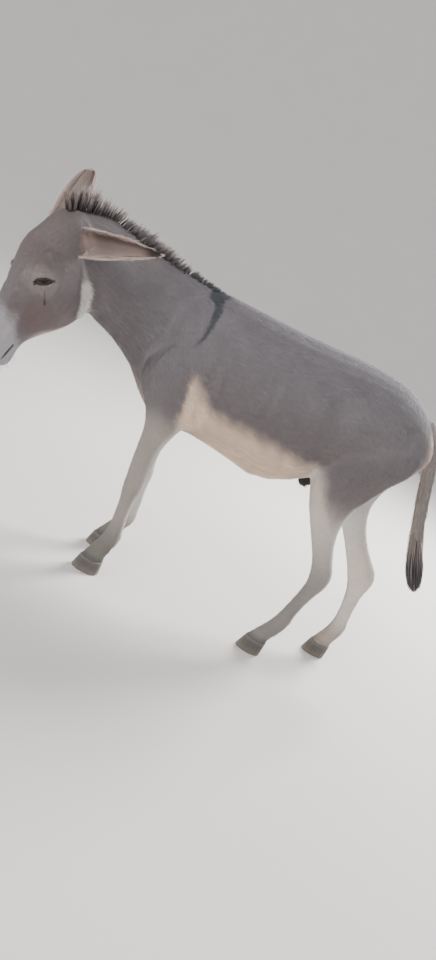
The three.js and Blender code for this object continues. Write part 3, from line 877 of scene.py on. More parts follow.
SHADES = Shades()


@dataclass(frozen=True)
class Band:
    """A marking along a bent line.

    Attributes:
        path: the line's corners, in the body's or the head's frame.
        half: half the marking's width.
        soft: the width over which its edge fades.
    """

    path: tuple[Point, ...]
    half: float
    soft: float

    def cover(self, points: Array) -> Array:
        """1 on the marking and 0 off it."""
        away, _ = along_path(points, self.path)
        return smooth(self.half + self.soft / 2, self.half - self.soft / 2, away)


def edge_height(x: Array, corners: Sequence[tuple[float, float]]) -> Array:
    """The height of a boundary at each x, straight between its corners."""
    table = np.array(corners)
    return np.interp(x, table[:, 0], table[:, 1])


@dataclass
class Markings:
    """Where the coat is grey, brown, white or dark, with some painted shade and rim light."""

    places: Places
    carvers: tuple[FaceCarver, FaceCarver]
    belly_edge: tuple[tuple[float, float], ...] = (
        (-0.2, 0.777), (-0.15, 0.727), (-0.11, 0.705), (0.13, 0.7), (0.22, 0.686), (0.268, 0.686),
        (0.292, 0.655), (0.33, 0.6), (0.4, 0.5),
    )
    muzzle_edge: Rows = ((-0.125, 0.408), (-0.09, 0.378), (-0.058, 0.35), (-0.024, 0.33), (0.0, 0.322))

    def paint(self, points: Array, normals: Array, part: Array) -> Array:
        """The coat's colour at each place.

        Args:
            points: places in the world, on or near the skin.
            normals: the skin's outward directions there.
            part: the part that each belongs to, as `Part` values.

        Returns:
            Linear colours, one to a row.
        """
        body, head = self.places.body(points), self.places.head(points)
        wobble = ripple(points, 0.055, 3) * 0.005 + ripple(points, 0.014, 4) * 0.002
        colour = np.tile(np.array(SHADES.grey), (len(points), 1))
        on_head = part == Part.HEAD
        on_ear = np.isin(part, EARS)
        on_leg = np.isin(part, LEGS)
        trunk = ~(on_head | on_ear)

        def lay(shade: tuple[float, float, float], cover: Array) -> None:
            """Mixes a shade over the colours so far."""
            share = np.clip(cover, 0.0, 1.0)[:, None]
            colour[:] = colour * (1 - share) + np.array(shade) * share

        x, _, z = body.T
        barrel = 0.35 + 0.65 * smooth(-0.3, -0.14, x)
        lay(SHADES.grey_low, smooth(0.95, 0.72, z) * trunk * barrel)
        nape, _ = along_path(body, NAPE)
        lay(SHADES.crown, smooth(-0.36, -0.52, x) * trunk * 0.2)
        lay(SHADES.crown, smooth(0.13, 0.04, nape + wobble * 2) * trunk * 0.5)
        lay(SHADES.stripe, self.shoulder(body, wobble) * trunk)
        lay(SHADES.white, self.underside(body, wobble) * trunk)
        stifle = (x > 0.2) & (z < 0.72)
        elbow = (x < 0.0) & (z < 0.66)
        paled = self.legs(body, wobble) * (on_leg | (trunk & (stifle | elbow)))
        lay(SHADES.forearm, paled * (x < 0.0))
        lay(SHADES.leg, paled * (x >= 0.0))
        sheath = np.linalg.norm((body - [0.268, 0.0, 0.605]) / [0.04, 0.03, 0.042], axis=1)
        lay(SHADES.dark, smooth(1.15, 0.8, sheath) * trunk * 0.95)
        self.feet(body, on_leg, lay)
        # pale inner legs, and a line down the legs' rear edges that is partly pale hair and partly
        # painted rim light
        lay(SHADES.pale_leg_and_rim_light, self.pale_legs_and_rim_light(body, normals) * (on_leg | (trunk & stifle)))
        self.tail(points, part, lay)
        self.head(head, on_head, wobble, lay)
        self.throat(head, ~on_ear, on_head, lay)
        for ear in EARS:
            self.ear(points, normals, part == ear, ear, lay)
        mottle = 1 + 0.035 * ripple(points, 0.09, 5) + 0.02 * ripple(points, 0.018, 6)
        return np.clip(colour * mottle[:, None], 0.0, 1.0)

    def shoulder(self, body: Array, wobble: Array) -> Array:
        """The stripe down each shoulder from the withers, and the line along the back."""
        x, y, z = body.T
        away, along = along_path(folded(body), SHOULDER_STRIPE)
        half = 0.0125 + 0.028 * smooth(0.09, 0.0, along) - 0.055 * np.maximum(along - 0.09, 0.0)
        stripe = smooth(half + 0.006, half - 0.005, away + wobble * 0.5) * smooth(0.268, 0.215, along)
        withers = np.hypot((x + 0.258) * 0.8, y) + wobble
        patch = smooth(0.045, 0.028, withers) * (z > 0.97)
        back = smooth(0.013, 0.006, np.abs(y) + wobble * 0.4) * (z > 0.93)
        back = back * smooth(-0.26, -0.22, x) * 0.45
        return np.maximum(np.maximum(stripe, patch * 0.9), back)

    def underside(self, body: Array, wobble: Array) -> Array:
        """The white of the belly, the elbows and the inside of the thighs."""
        x, y, z = body.T
        edge = edge_height(x, self.belly_edge)
        depth = edge - z + wobble
        behind = smooth(-0.226, -0.198, x + 0.1 * (z - 0.7) + wobble)
        inward = smooth(0.15, 0.08, np.abs(y)) * (x > -0.3)
        brisket = smooth(0.1, 0.05, np.abs(y)) * smooth(0.7, 0.62, z) * (x < -0.2)
        return np.maximum(smooth(-0.032, 0.042, depth + 0.03 * inward) * behind, brisket * 0.45)

    def legs(self, body: Array, wobble: Array) -> Array:
        """How far each leg has paled: below its grey top and down the stifle's front."""
        x, z = body[:, 0], body[:, 2]
        fore = smooth(0.66, 0.54, z + wobble)
        hind = smooth(0.65, 0.48, z + wobble)
        stifle = edge_height(z, ((0.5, 0.42), (0.59, 0.318), (0.645, 0.284), (0.7, 0.262)))
        front = smooth(0.065, -0.005, x - stifle + wobble) * smooth(0.72, 0.65, z)
        flank = np.maximum(smooth(-0.05, -0.015, x - stifle), smooth(0.66, 0.6, z))
        hind = np.maximum(hind, front) * flank
        return np.where(x < 0.0, fore * smooth(-0.08, -0.16, x), hind)

    def pale_legs_and_rim_light(self, body: Array, normals: Array) -> Array:
        """The pale hair inside each leg, and the pale line down its rear edge, partly a painted rim
        light.
        """
        z = body[:, 2]
        inner = smooth(0.1, 0.6, -np.sign(body[:, 1]) * normals[:, 1]) * smooth(0.76, 0.69, z)
        # rear-facing side: partly pale hair, partly a painted rim light
        rear = smooth(0.55, 0.95, normals[:, 0]) * smooth(0.66, 0.6, z)
        return np.maximum(inner * 0.8, rear * 0.9) * smooth(0.09, 0.2, z)

    def feet(self, body: Array, on_leg: Array, lay: Lay) -> None:
        """The dust and darker hair above the hooves, and the chestnuts inside the forelegs."""
        x, _, z = body.T
        fore = x < 0.0
        lay(SHADES.shank, smooth(0.26, 0.09, z) * on_leg * fore * 0.9)
        lay(SHADES.hind_shank, smooth(0.53, 0.27, z) * on_leg * ~fore * 0.85)
        lay(SHADES.stripe, smooth(0.078, 0.058, z) * on_leg * 0.55)
        chestnut = np.linalg.norm((folded(body) - [-0.235, 0.092, 0.4]) / [0.014, 0.03, 0.026], axis=1)
        lay(SHADES.dark, smooth(1.1, 0.8, chestnut) * on_leg * fore)

    def tail(self, points: Array, part: Array, lay: Lay) -> None:
        """The pale sides and the dark middle line of the tail."""
        x, y, z = self.places.body(points).T
        on_tail = part == Part.TAIL
        lay(SHADES.forearm, on_tail * 0.5)
        lay(SHADES.stripe, on_tail * smooth(0.66, 0.54, z) * 0.6)
        rear = smooth(0.53, 0.575, x) * smooth(0.97, 0.9, z)
        rear = rear * smooth(0.13, 0.05, np.abs(y))
        lay(SHADES.white, rear * (~on_tail) * 0.5)

    def head(self, head: Array, on_head: Array, wobble: Array, lay: Lay) -> None:
        """The face: brown cheeks, white muzzle, pale rings and dark lids."""
        x, y, z = head[:, 0], np.abs(head[:, 1]), head[:, 2]
        cheek = smooth(0.095, 0.015, np.hypot(x - 0.298, (z + 0.092) * 0.8) + wobble)
        lay(SHADES.brown, cheek * on_head * (y > 0.03) * 0.75)
        lay(SHADES.brown, smooth(0.3, 0.22, x) * smooth(-0.06, -0.15, z) * on_head * 0.2)
        lay(SHADES.crown, smooth(0.36, 0.27, x) * on_head * 0.45)
        top = smooth(0.2, 0.12, x) * smooth(-0.13, -0.06, z)
        top = top + smooth(0.3, 0.2, x) * smooth(-0.055, -0.02, z)
        lay(SHADES.crown, top * on_head * 0.5)
        sided = folded(head)
        hollow = np.linalg.norm(sided - [0.03, 0.08, -0.092], axis=1)
        lay(SHADES.ear_root, smooth(0.036, 0.018, hollow + wobble) * 0.6)
        fold = Band(((-0.034, 0.026, -0.04), (-0.018, 0.061, -0.082)), 0.003, 0.005)
        lay(SHADES.ear_rim, fold.cover(sided) * 0.8)
        start = edge_height(z, self.muzzle_edge)
        lay(SHADES.muzzle, smooth(-0.024, 0.02, x - start + wobble * 1.5) * on_head)
        jaw = smooth(0.02, 0.002, y - 0.035) * smooth(-0.12, -0.17, z)
        lay(SHADES.white, jaw * on_head * 0.6)
        for carver in self.carvers:
            local = head * [1, carver.side, 1]
            near = on_head & (local[:, 1] > 0.03)
            ring = np.linalg.norm((local - carver.eye) * [1, 0.4, 1] - [-0.004, 0.0, 0.004], axis=1)
            lay(SHADES.ring, smooth(0.058, 0.026, ring + wobble * 1.5) * near * 0.38)
            self.eye_rims(local, near, carver, lay)
            tear = Band(TEAR_LINE, 0.0026, 0.004)
            lay(SHADES.dark, tear.cover(local) * near * 0.8)
            lay(SHADES.dark, Band(NOSTRIL_LINE, 0.007, 0.006).cover(local) * on_head)
            mouth = Band(MOUTH_LINE, 0.0042, 0.004).cover(local)
            lay(SHADES.bare, mouth * on_head * (local[:, 1] > -0.002))
        nose = smooth(0.484, 0.502, x) * smooth(0.05, 0.03, y)
        lay(SHADES.bare, nose * on_head * 0.35)

    def eye_rims(self, local: Array, near: Array, carver: FaceCarver, lay: Lay) -> None:
        """The dark edges of the lids, drawn out at both corners."""
        along, up, _, outward = carver.on_ball(local)
        gap = carver.outside(along, up)
        lay(SHADES.bare, smooth(0.0065, 0.003, gap - 0.003 * (up > 0)) * near * (outward > 0.0))
        flat = (local - carver.eye) @ carver.frame().T
        flat[:, 2] = 0.0
        inner = Band(((0.02, -0.001, 0.0), (0.028, -0.005, 0.0)), 0.0034, 0.003)
        outer = Band(((-0.018, 0.001, 0.0), (-0.031, 0.0, 0.0)), 0.0044, 0.003)
        lay(SHADES.bare, np.maximum(inner.cover(flat), outer.cover(flat)) * near * 0.9)

    def throat(self, head: Array, where: Array, on_head: Array, lay: Lay) -> None:
        """The pale patch behind each cheek, widening towards the throat, with painted shade on the neck
        beside it.
        """
        sided = np.stack([head[:, 0], np.abs(head[:, 1]) * 0.4, head[:, 2]], axis=1)
        away, along = along_path(sided, THROAT_LINE)
        half = 0.001 + 0.015 * smooth(0.02, 0.11, along)
        # painted shade: a darker band on the neck beside the pale patch, under the jaw
        lay(SHADES.crown, smooth(half + 0.034, half + 0.006, away) * where * ~on_head * 0.6)
        patch = smooth(half + 0.01, half - 0.006, away)
        lay(SHADES.pale, patch * where * (0.25 + 0.75 * smooth(0.055, 0.09, along)))

    def ear(self, points: Array, normals: Array, where: Array, ear: Part, lay: Lay) -> None:
        """An ear's pale inside, its rims, its dark tip, and painted shade inside it under its rear rim.
        """
        along, turn, inner = EarFrame(self.places, ear).read(points, normals)
        front, inside, rim = turn * EAR_SHAPES[ear].front, where * inner, smooth(0.03, 0.2, along)
        lay(SHADES.ear_inside, inside)
        lay(SHADES.ear_rim, inside * smooth(0.3, 0.0, along) * 0.45)
        lay(SHADES.ear_rim, inside * smooth(-0.1, 1.0, front) * 0.45)
        # painted shade inside the ear, just under its rear rim
        lay(SHADES.ear_painted_shade, inside * smooth(-0.1, -0.6, front) * smooth(0.05, 0.25, along) * 0.85)
        edge_line = smooth(0.1, 0.02, np.abs(front - 0.62)) * smooth(0.5, 0.6, along)
        tip = smooth(0.72, 0.88, along) * smooth(1.0, 0.7, np.abs(turn)) * EAR_SHAPES[ear].dark_tip
        lay(SHADES.dark, inside * np.maximum(edge_line * 0.6, tip * 0.85))
        lay(SHADES.ear_rim, inside * rim * smooth(0.78, 0.96, np.abs(turn)) * 0.85)
        lay(SHADES.ear_rim, where * rim * (1 - inner) * smooth(0.88, 1.0, np.abs(turn)) * 0.6)
        outer = where * (1 - inner) * smooth(0.78, 0.92, along)
        lay(SHADES.stripe, outer * 0.7 * EAR_SHAPES[ear].dark_tip)
        lay(SHADES.ear_rim, where * smooth(0.955, 0.985, along) * 0.9)


# --- lie and layout
@dataclass
class Comb:
    """The way the coat lies on each part."""

    places: Places
    rounds: float = 14.0

    def lie(self, skin: Skin) -> Array:
        """The lie of the coat at each point of the skin, along the skin."""
        body, head = self.places.body(skin.points), self.places.head(skin.points)
        way = self.on_body(body, skin.normals)
        for part, made in (
            (Part.NECK, self.on_neck(body)),
            (Part.HEAD, self.on_head(head)),
            (Part.TAIL, np.tile([0.25, 0.0, -1.0], (len(body), 1))),
        ):
            way = np.where((skin.part == part)[:, None], made, way)
        for leg in LEGS:
            way = np.where((skin.part == leg)[:, None], [0.12, 0.0, -1.0], way)
        for ear in EARS:
            way = np.where((skin.part == ear)[:, None], EarFrame(self.places, ear).tipward(), way)
        way = self.along_skin(unit(way), skin.normals)
        way = relax(way, skin.edges, np.full(len(way), self.rounds))
        return self.along_skin(way, skin.normals)

    @staticmethod
    def along_skin(way: Array, normals: Array) -> Array:
        """Directions laid flat on the skin."""
        return unit(way - normals * (way * normals).sum(1, keepdims=True))

    @staticmethod
    def on_body(body: Array, normals: Array) -> Array:
        """The lie on the trunk: back and down, steeper on the shoulder and the rump."""
        x, y, z = body.T
        shoulder, rump = smooth(-0.14, -0.3, x), smooth(0.3, 0.52, x)
        under = smooth(-0.2, -0.7, normals[:, 2])
        down = (0.3 + 0.9 * shoulder + 1.5 * rump) * (1 - under)
        spread = np.sign(y) * 0.35 * smooth(0.5, 0.95, normals[:, 2])
        return np.stack([1.0 - 0.6 * shoulder - 0.5 * rump, spread, -down], axis=1)

    @staticmethod
    def on_neck(body: Array) -> Array:
        """The lie on the neck: from the head towards the shoulder, and down."""
        down = 0.3 + 0.5 * smooth(-0.45, -0.3, body[:, 0])
        return np.stack([np.full(len(body), 0.92), np.full(len(body), 0.36), -down], axis=1)

    def on_head(self, head: Array) -> Array:
        """The lie on the head: down the face, and over the cheeks towards the jaw."""
        cheek = smooth(-0.02, -0.14, head[:, 2])
        side = np.sign(head[:, 1])
        way = np.stack([1.0 - 0.35 * cheek, side * 0.15, -0.55 * cheek], axis=1)
        return way @ self.places.axes


class Layout:
    """The skin's own shape laid out flat, each part in six charts by the way it faces."""

    GAP = 0.006

    def __init__(self, places: Places, skin: Skin) -> None:
        """Packs the charts into the unit square."""
        self.places = places
        charts, flat = self.flatten(skin.points, skin.normals, skin.part)
        count = len(Part) * 6
        self.low = np.zeros((count, 2))
        size = np.zeros((count, 2))
        for chart in np.unique(charts):
            mine = flat[charts == chart]
            self.low[chart] = mine.min(0)
            size[chart] = mine.max(0) - mine.min(0)
        self.scale, self.start = self.pack(size)

    def frame(self, part: Part) -> Array:
        """The axes that a part is laid out along."""
        if part in (Part.HEAD, *EARS):
            return self.places.axes
        if part == Part.NECK:
            along = unit(np.array([0.92, 0.37, 0.0]))
            return np.stack([along, np.cross([0.0, 0.0, 1.0], along), [0.0, 0.0, 1.0]])
        return np.eye(3)

    def flatten(self, points: Array, normals: Array, part: Array) -> tuple[Array, Array]:
        """Each place's chart, and where it lies in it in metres."""
        charts = np.zeros(len(points), dtype=np.int64)
        flat = np.zeros((len(points), 2))
        for value in Part:
            mine = part == value
            axes = self.frame(value)
            local, faces = points[mine] @ axes.T, normals[mine] @ axes.T
            axis = np.abs(faces).argmax(1)
            rows = np.arange(len(local))
            charts[mine] = value * 6 + axis * 2 + (faces[rows, axis] > 0)
            others = np.array([[1, 2], [0, 2], [0, 1]])[axis]
            flat[mine] = np.take_along_axis(local, others, axis=1)
        return charts, flat

    def pack(self, size: Array) -> tuple[float, Array]:
        """Lays boxes on shelves, at the largest scale at which all fit."""
        order = np.argsort(-size[:, 1])
        scale = 1.0
        while True:
            start = np.zeros_like(size)
            across, base, tall = self.GAP, self.GAP, 0.0
            for chart in order:
                width, height = size[chart] * scale
                if across + width + self.GAP > 1.0:
                    across, base, tall = self.GAP, base + tall + self.GAP, 0.0
                start[chart] = across, base
                across += width + self.GAP
                tall = max(tall, height)
            if base + tall + self.GAP <= 1.0:
                return scale, start
            scale *= 0.97

    def place(self, points: Array, normals: Array, part: Array) -> Array:
        """Where each place lies on the layout."""
        charts, flat = self.flatten(points, normals, part)
        spot = (flat - self.low[charts]) * self.scale + self.start[charts]
        return np.clip(spot, 0.0025, 0.9975)


# --- hair as solid locks
@dataclass
class Locks:
    """Many pointed locks, each a three-sided closed form along its own line.

    Attributes:
        lines: the middle of each lock at each step, the last step being its tip.
        side: the way across each lock.
        face: the way out of each lock's broad face.
        half: half the width at each step but the last.
        thick: the thickness as a share of the half width.
        colours: the colour at each step.
        spots: each lock's place on the layout.
        soft: True if the locks take the light as the skin under them does.
    """

    lines: Array
    side: Array
    face: Array
    half: Array
    thick: float
    colours: Array
    spots: Array
    soft: bool = False
    patch: float = 0.003

    def mesh(self, name: str) -> Mesh:
        """All the locks as one mesh, with their colours and their layout."""
        count, steps = self.lines.shape[:2]
        rings = steps - 1
        per = rings * 3 + 1
        points = np.empty((count, per, 3))
        spots = np.empty((count, per, 2))
        tones = np.empty((count, per, 3))
        faces_out = np.repeat(self.face[:, None], per, axis=1)
        for step in range(rings):
            middle = self.lines[:, step]
            across = self.side * self.half[:, step, None]
            rise = self.face * self.half[:, step, None] * self.thick
            for corner, offset in enumerate((across - rise * 0.3, rise, -across - rise * 0.3)):
                slot = step * 3 + corner
                points[:, slot] = middle + offset
                faces_out[:, slot] += self.side * (0.25, 0.0, -0.25)[corner]
                shift = np.array([(0.5, 0.0, -0.5)[corner], step / rings - 0.5]) * self.patch
                spots[:, slot] = self.spots + shift
                tones[:, slot] = self.colours[:, step]
        points[:, -1] = self.lines[:, -1]
        spots[:, -1] = self.spots + np.array([0.0, 0.5]) * self.patch
        tones[:, -1] = self.colours[:, -1]
        faces = self.pattern(rings)
        whole = (faces[None] + (np.arange(count) * per)[:, None, None]).reshape(-1)
        mesh = bpy.data.meshes.new(name)
        mesh.vertices.add(count * per)
        mesh.vertices.foreach_set("co", points.astype(np.float32).ravel())
        mesh.loops.add(len(whole))
        mesh.loops.foreach_set("vertex_index", whole.astype(np.int32))
        mesh.polygons.add(len(whole) // 3)
        mesh.polygons.foreach_set("loop_start", np.arange(0, len(whole), 3, dtype=np.int32))
        mesh.update(calc_edges=True)
        layer = mesh.uv_layers.new(name=BAKE_MAP)
        layer.data.foreach_set("uv", spots.reshape(-1, 2)[whole].astype(np.float32).ravel())
        set_colour(mesh, tones.reshape(-1, 3))
        if self.soft:
            mesh.normals_split_custom_set_from_vertices(unit(faces_out.reshape(-1, 3)).tolist())
        return mesh

    @staticmethod
    def pattern(rings: int) -> Array:
        """The triangles of one lock, facing outwards."""
        faces = [(0, 2, 1)]
        for step in range(rings - 1):
            for a, b in ((0, 1), (1, 2), (2, 0)):
                low, high = step * 3, step * 3 + 3
                faces += [(low + a, low + b, high + b), (low + a, high + b, high + a)]
        last = (rings - 1) * 3
        faces += [(last + a, last + b, rings * 3) for a, b in ((0, 1), (1, 2), (2, 0))]
        return np.array(faces)


@dataclass(frozen=True)
class Growth:
    """How the coat grows on a part.

    Attributes:
        spacing: the way from one tuft to the next.
        length: a tuft's length.
        half: half its width.
        lift: how steeply it leaves the skin, as rise over run.
    """

    spacing: float
    length: float
    half: float
    lift: float


GROWTHS = {
    Part.TRUNK: Growth(0.0054, 0.016, 0.0013, 0.15),
    Part.NECK: Growth(0.0054, 0.0165, 0.0013, 0.16),
    Part.HEAD: Growth(0.0041, 0.0085, 0.0008, 0.14),
    Part.TAIL: Growth(0.0046, 0.014, 0.0011, 0.18),
    **dict.fromkeys(EARS, Growth(0.0038, 0.008, 0.0008, 0.16)),
    **dict.fromkeys(LEGS[:2], Growth(0.0044, 0.01, 0.001, 0.16)),
    **dict.fromkeys(LEGS[2:], Growth(0.0046, 0.011, 0.001, 0.16)),
}


@dataclass
class Roots:
    """Where tufts stand on the skin."""

    points: Array
    normals: Array
    way: Array
    growth: Array
    part: Array

    def pick(self, wanted: Array) -> "Roots":
        """Only the roots that are wanted."""
        rows = (self.points, self.normals, self.way, self.growth, self.part)
        return Roots(*(row[wanted] for row in rows))


@dataclass
class Coat:
    """The short hair over the skin, in tufts that lie along it."""

    places: Places
    markings: Markings
    layout: Layout
    carvers: tuple[FaceCarver, FaceCarver]
    seed: int = 11
    thick: float = 0.24

    def sow(self, skin: Skin, mesh: Mesh, way: Array) -> Roots:
        """Spreads roots evenly over the skin."""
        mesh.calc_loop_triangles()
        corners = np.empty(len(mesh.loop_triangles) * 3, dtype=np.int64)
        mesh.loop_triangles.foreach_get("vertices", corners)
        corners = corners.reshape(-1, 3)
        a, b, c = (skin.points[corners[:, i]] for i in range(3))
        area = np.linalg.norm(np.cross(b - a, c - a), axis=1) / 2
        table = np.array([astuple(GROWTHS[part]) for part in Part])
        order = np.searchsorted(list(Part), skin.part)
        growth = relax(table[order], skin.edges, np.full(len(order), 16.0))
        local = self.places.head(skin.points)
        finer = 1 - 0.2 * smooth(0.2, 0.4, local[:, 0])
        spacing = growth[:, 0] * np.where(skin.part == Part.HEAD, finer, 1)
        weight = area / spacing[corners].mean(1) ** 2
        reach = np.cumsum(weight)
        rng = np.random.default_rng(self.seed)
        count = int(reach[-1])
        ticks = (np.arange(count) + rng.random(count)) * reach[-1] / count
        face = np.minimum(np.searchsorted(reach, ticks), len(reach) - 1)
        u, v = rng.random(count), rng.random(count)
        turned = u + v > 1
        u, v = np.where(turned, 1 - u, u), np.where(turned, 1 - v, v)
        shares = np.stack([1 - u - v, u, v], axis=1)

        def blend(values: Array) -> Array:
            """Values at the roots, from those at the face's corners."""
            return (values[corners[face]] * shares[:, :, None]).sum(1)

        main = corners[face, shares.argmax(1)]
        normals = unit(blend(skin.normals))
        lie = Comb.along_skin(blend(way), normals)
        return Roots(blend(skin.points), normals, lie, blend(growth), skin.part[main])

    def bare(self, roots: Roots) -> Array:
        """True where no coat grows: hooves, lids, nostrils and lips."""
        head = self.places.head(roots.points)
        bare = roots.points[:, 2] < 0.05
        on_head = roots.part == Part.HEAD
        for carver in self.carvers:
            local = head * [1, carver.side, 1]
            along, up, _, outward = carver.on_ball(local)
            near = on_head & (local[:, 1] > 0.03) & (outward > 0.0)
            bare |= near & (carver.outside(along, up) < 0.0022)
            hole, _ = along_path(local, NOSTRIL_LINE)
            lip, _ = along_path(local, MOUTH_LINE)
            bare |= on_head & (local[:, 1] > -0.01) & ((hole < 0.008) | (lip < 0.0035))
        return bare

    def sizes(self, roots: Roots) -> tuple[Array, Array, Array]:
        """The length, half width and lift of each tuft."""
        _, length, half, lift = roots.growth.T
        body, head = self.places.body(roots.points), self.places.head(roots.points)
        x, y, z = body.T
        under = smooth(-0.3, -0.8, roots.normals[:, 2]) * (roots.part == Part.TRUNK)
        length = length * (1 + 0.35 * under)
        rear = smooth(0.52, 0.58, x) * smooth(0.6, 0.75, z) * smooth(0.98, 0.9, z)
        length = length * (1 + 0.5 * rear)
        throat = smooth(0.25, 0.2, head[:, 0]) * smooth(0.04, 0.08, head[:, 0])
        throat = throat * smooth(-0.1, -0.15, head[:, 2])
        length = length * (1 + 0.6 * throat * np.isin(roots.part, [Part.HEAD, Part.NECK]))
        legs = np.isin(roots.part, LEGS)
        fetlock = smooth(0.035, 0.0, np.abs(z - 0.115)) * smooth(-0.3, 0.6, roots.normals[:, 0])
        coronet = smooth(0.072, 0.056, z)
        length = length * (1 + legs * (1.1 * fetlock + 0.55 * coronet))
        muzzle = smooth(0.34, 0.46, head[:, 0]) * (roots.part == Part.HEAD)
        length, lift = length * (1 - 0.35 * muzzle), lift * (1 - 0.2 * muzzle)
        for ear in EARS:
            mine = roots.part == ear
            along, turn, inner = EarFrame(self.places, ear).read(roots.points, roots.normals)
            rim = smooth(0.6, 0.95, np.abs(turn)) * smooth(1.0, 0.7, along) * smooth(0.05, 0.25, along)
            grow = inner * (0.3 + 1.1 * rim) + (1 - inner) * 0.3 * rim
            length = length * (1 + mine * grow)
            lift = lift + mine * (0.3 * inner * rim + 0.05 * inner)
        return length, half, lift

    def grow(self, roots: Roots, name: str, seed: int) -> Mesh:
        """Tufts at the given roots, as one mesh."""
        rng = np.random.default_rng(seed)
        count = len(roots.points)
        length, half, lift = self.sizes(roots)
        length = length * rng.uniform(0.75, 1.2, count)
        half = half * rng.uniform(0.8, 1.2, count)
        lift = lift * rng.uniform(0.85, 1.2, count)
        side = np.cross(roots.normals, roots.way)
        swirl = ripple(roots.points, 0.08, 21) * 0.06 + rng.normal(0, 0.07, count)
        way = unit(roots.way + side * swirl[:, None])
        side = unit(np.cross(roots.normals, way))
        points, out = roots.points, roots.normals
        middle = points + way * (length * 0.5)[:, None] + out * (length * lift * 0.62)[:, None]
        tip = points + way * length[:, None] + out * (length * lift * 0.92)[:, None]
        lines = np.stack([points - out * 0.0012, middle, tip], axis=1)
        halves = np.stack([half * 0.8, half], axis=1)
        base = self.markings.paint(points + way * (length * 0.4)[:, None], out, roots.part)
        base = base * rng.normal(1.0, 0.035, count).clip(0.88, 1.12)[:, None]
        tones = np.stack([base * 0.92, base, base * 1.04], axis=1).clip(0.0, 1.0)
        spots = self.layout.place(points, out, roots.part)
        return Locks(lines, side, out, halves, self.thick, tones, spots, soft=True).mesh(name)

    def pieces(self, roots: Roots) -> dict[str, Array]:
        """Which roots belong to which piece of coat."""
        body = self.places.body(roots.points)
        left = body[:, 1] < 0.0
        trunk, neck = roots.part == Part.TRUNK, roots.part == Part.NECK
        ears = np.isin(roots.part, EARS)
        fore = np.isin(roots.part, LEGS[:2])
        hind = np.isin(roots.part, LEGS[2:])
        ahead = body[:, 0] < 0.12
        return {
            "coat_shoulder_left": trunk & ahead & left,
            "coat_shoulder_right": trunk & ahead & ~left,
            "coat_rump_left": trunk & ~ahead & left,
            "coat_rump_right": trunk & ~ahead & ~left,
            "coat_neck": neck,
            "coat_head": roots.part == Part.HEAD,
            "coat_ears": ears,
            "coat_forelegs": fore,
            "coat_hindlegs": hind,
            "coat_tail": roots.part == Part.TAIL,
        }


def curve_points(path: Sequence[Point], shares: Array) -> tuple[Array, Array]:
    """Places and directions along a smooth line through some corners.

    Args:
        path: the corners, in any frame, with any number of values each.
        shares: how far along the corners, from 0 to 1.

    Returns:
        The values there, and how they change.
    """
    corners = np.array(path, dtype=float)
    padded = np.vstack([2 * corners[0] - corners[1], corners, 2 * corners[-1] - corners[-2]])
    spot = np.clip(shares, 0.0, 1.0) * (len(corners) - 1)
    start = np.minimum(spot.astype(int), len(corners) - 2)
    t = (spot - start)[..., None]
    p0, p1, p2, p3 = (padded[start + i] for i in range(4))
    square, cube = 2 * p0 - 5 * p1 + 4 * p2 - p3, 3 * p1 - p0 - 3 * p2 + p3
    value = 0.5 * (2 * p1 + (p2 - p0) * t + square * t**2) + 0.5 * cube * t**3
    slope = 0.5 * ((p2 - p0) + 2 * square * t + 3 * cube * t**2)
    return value, slope


def tinted(shade: Array, count: int, tones: Sequence[float], rng: Rng, spread: float) -> Array:
    """Colours for each step of many locks, each lock a little lighter or darker than the next."""
    own = rng.normal(1.0, spread, count).clip(0.5, 1.6)[:, None, None]
    shade = np.asarray(shade) if np.ndim(shade) == 3 else np.asarray(shade).reshape(-1, 1, 3)
    return (shade * np.array(tones)[None, :, None] * own).clip(0.0, 1.0)


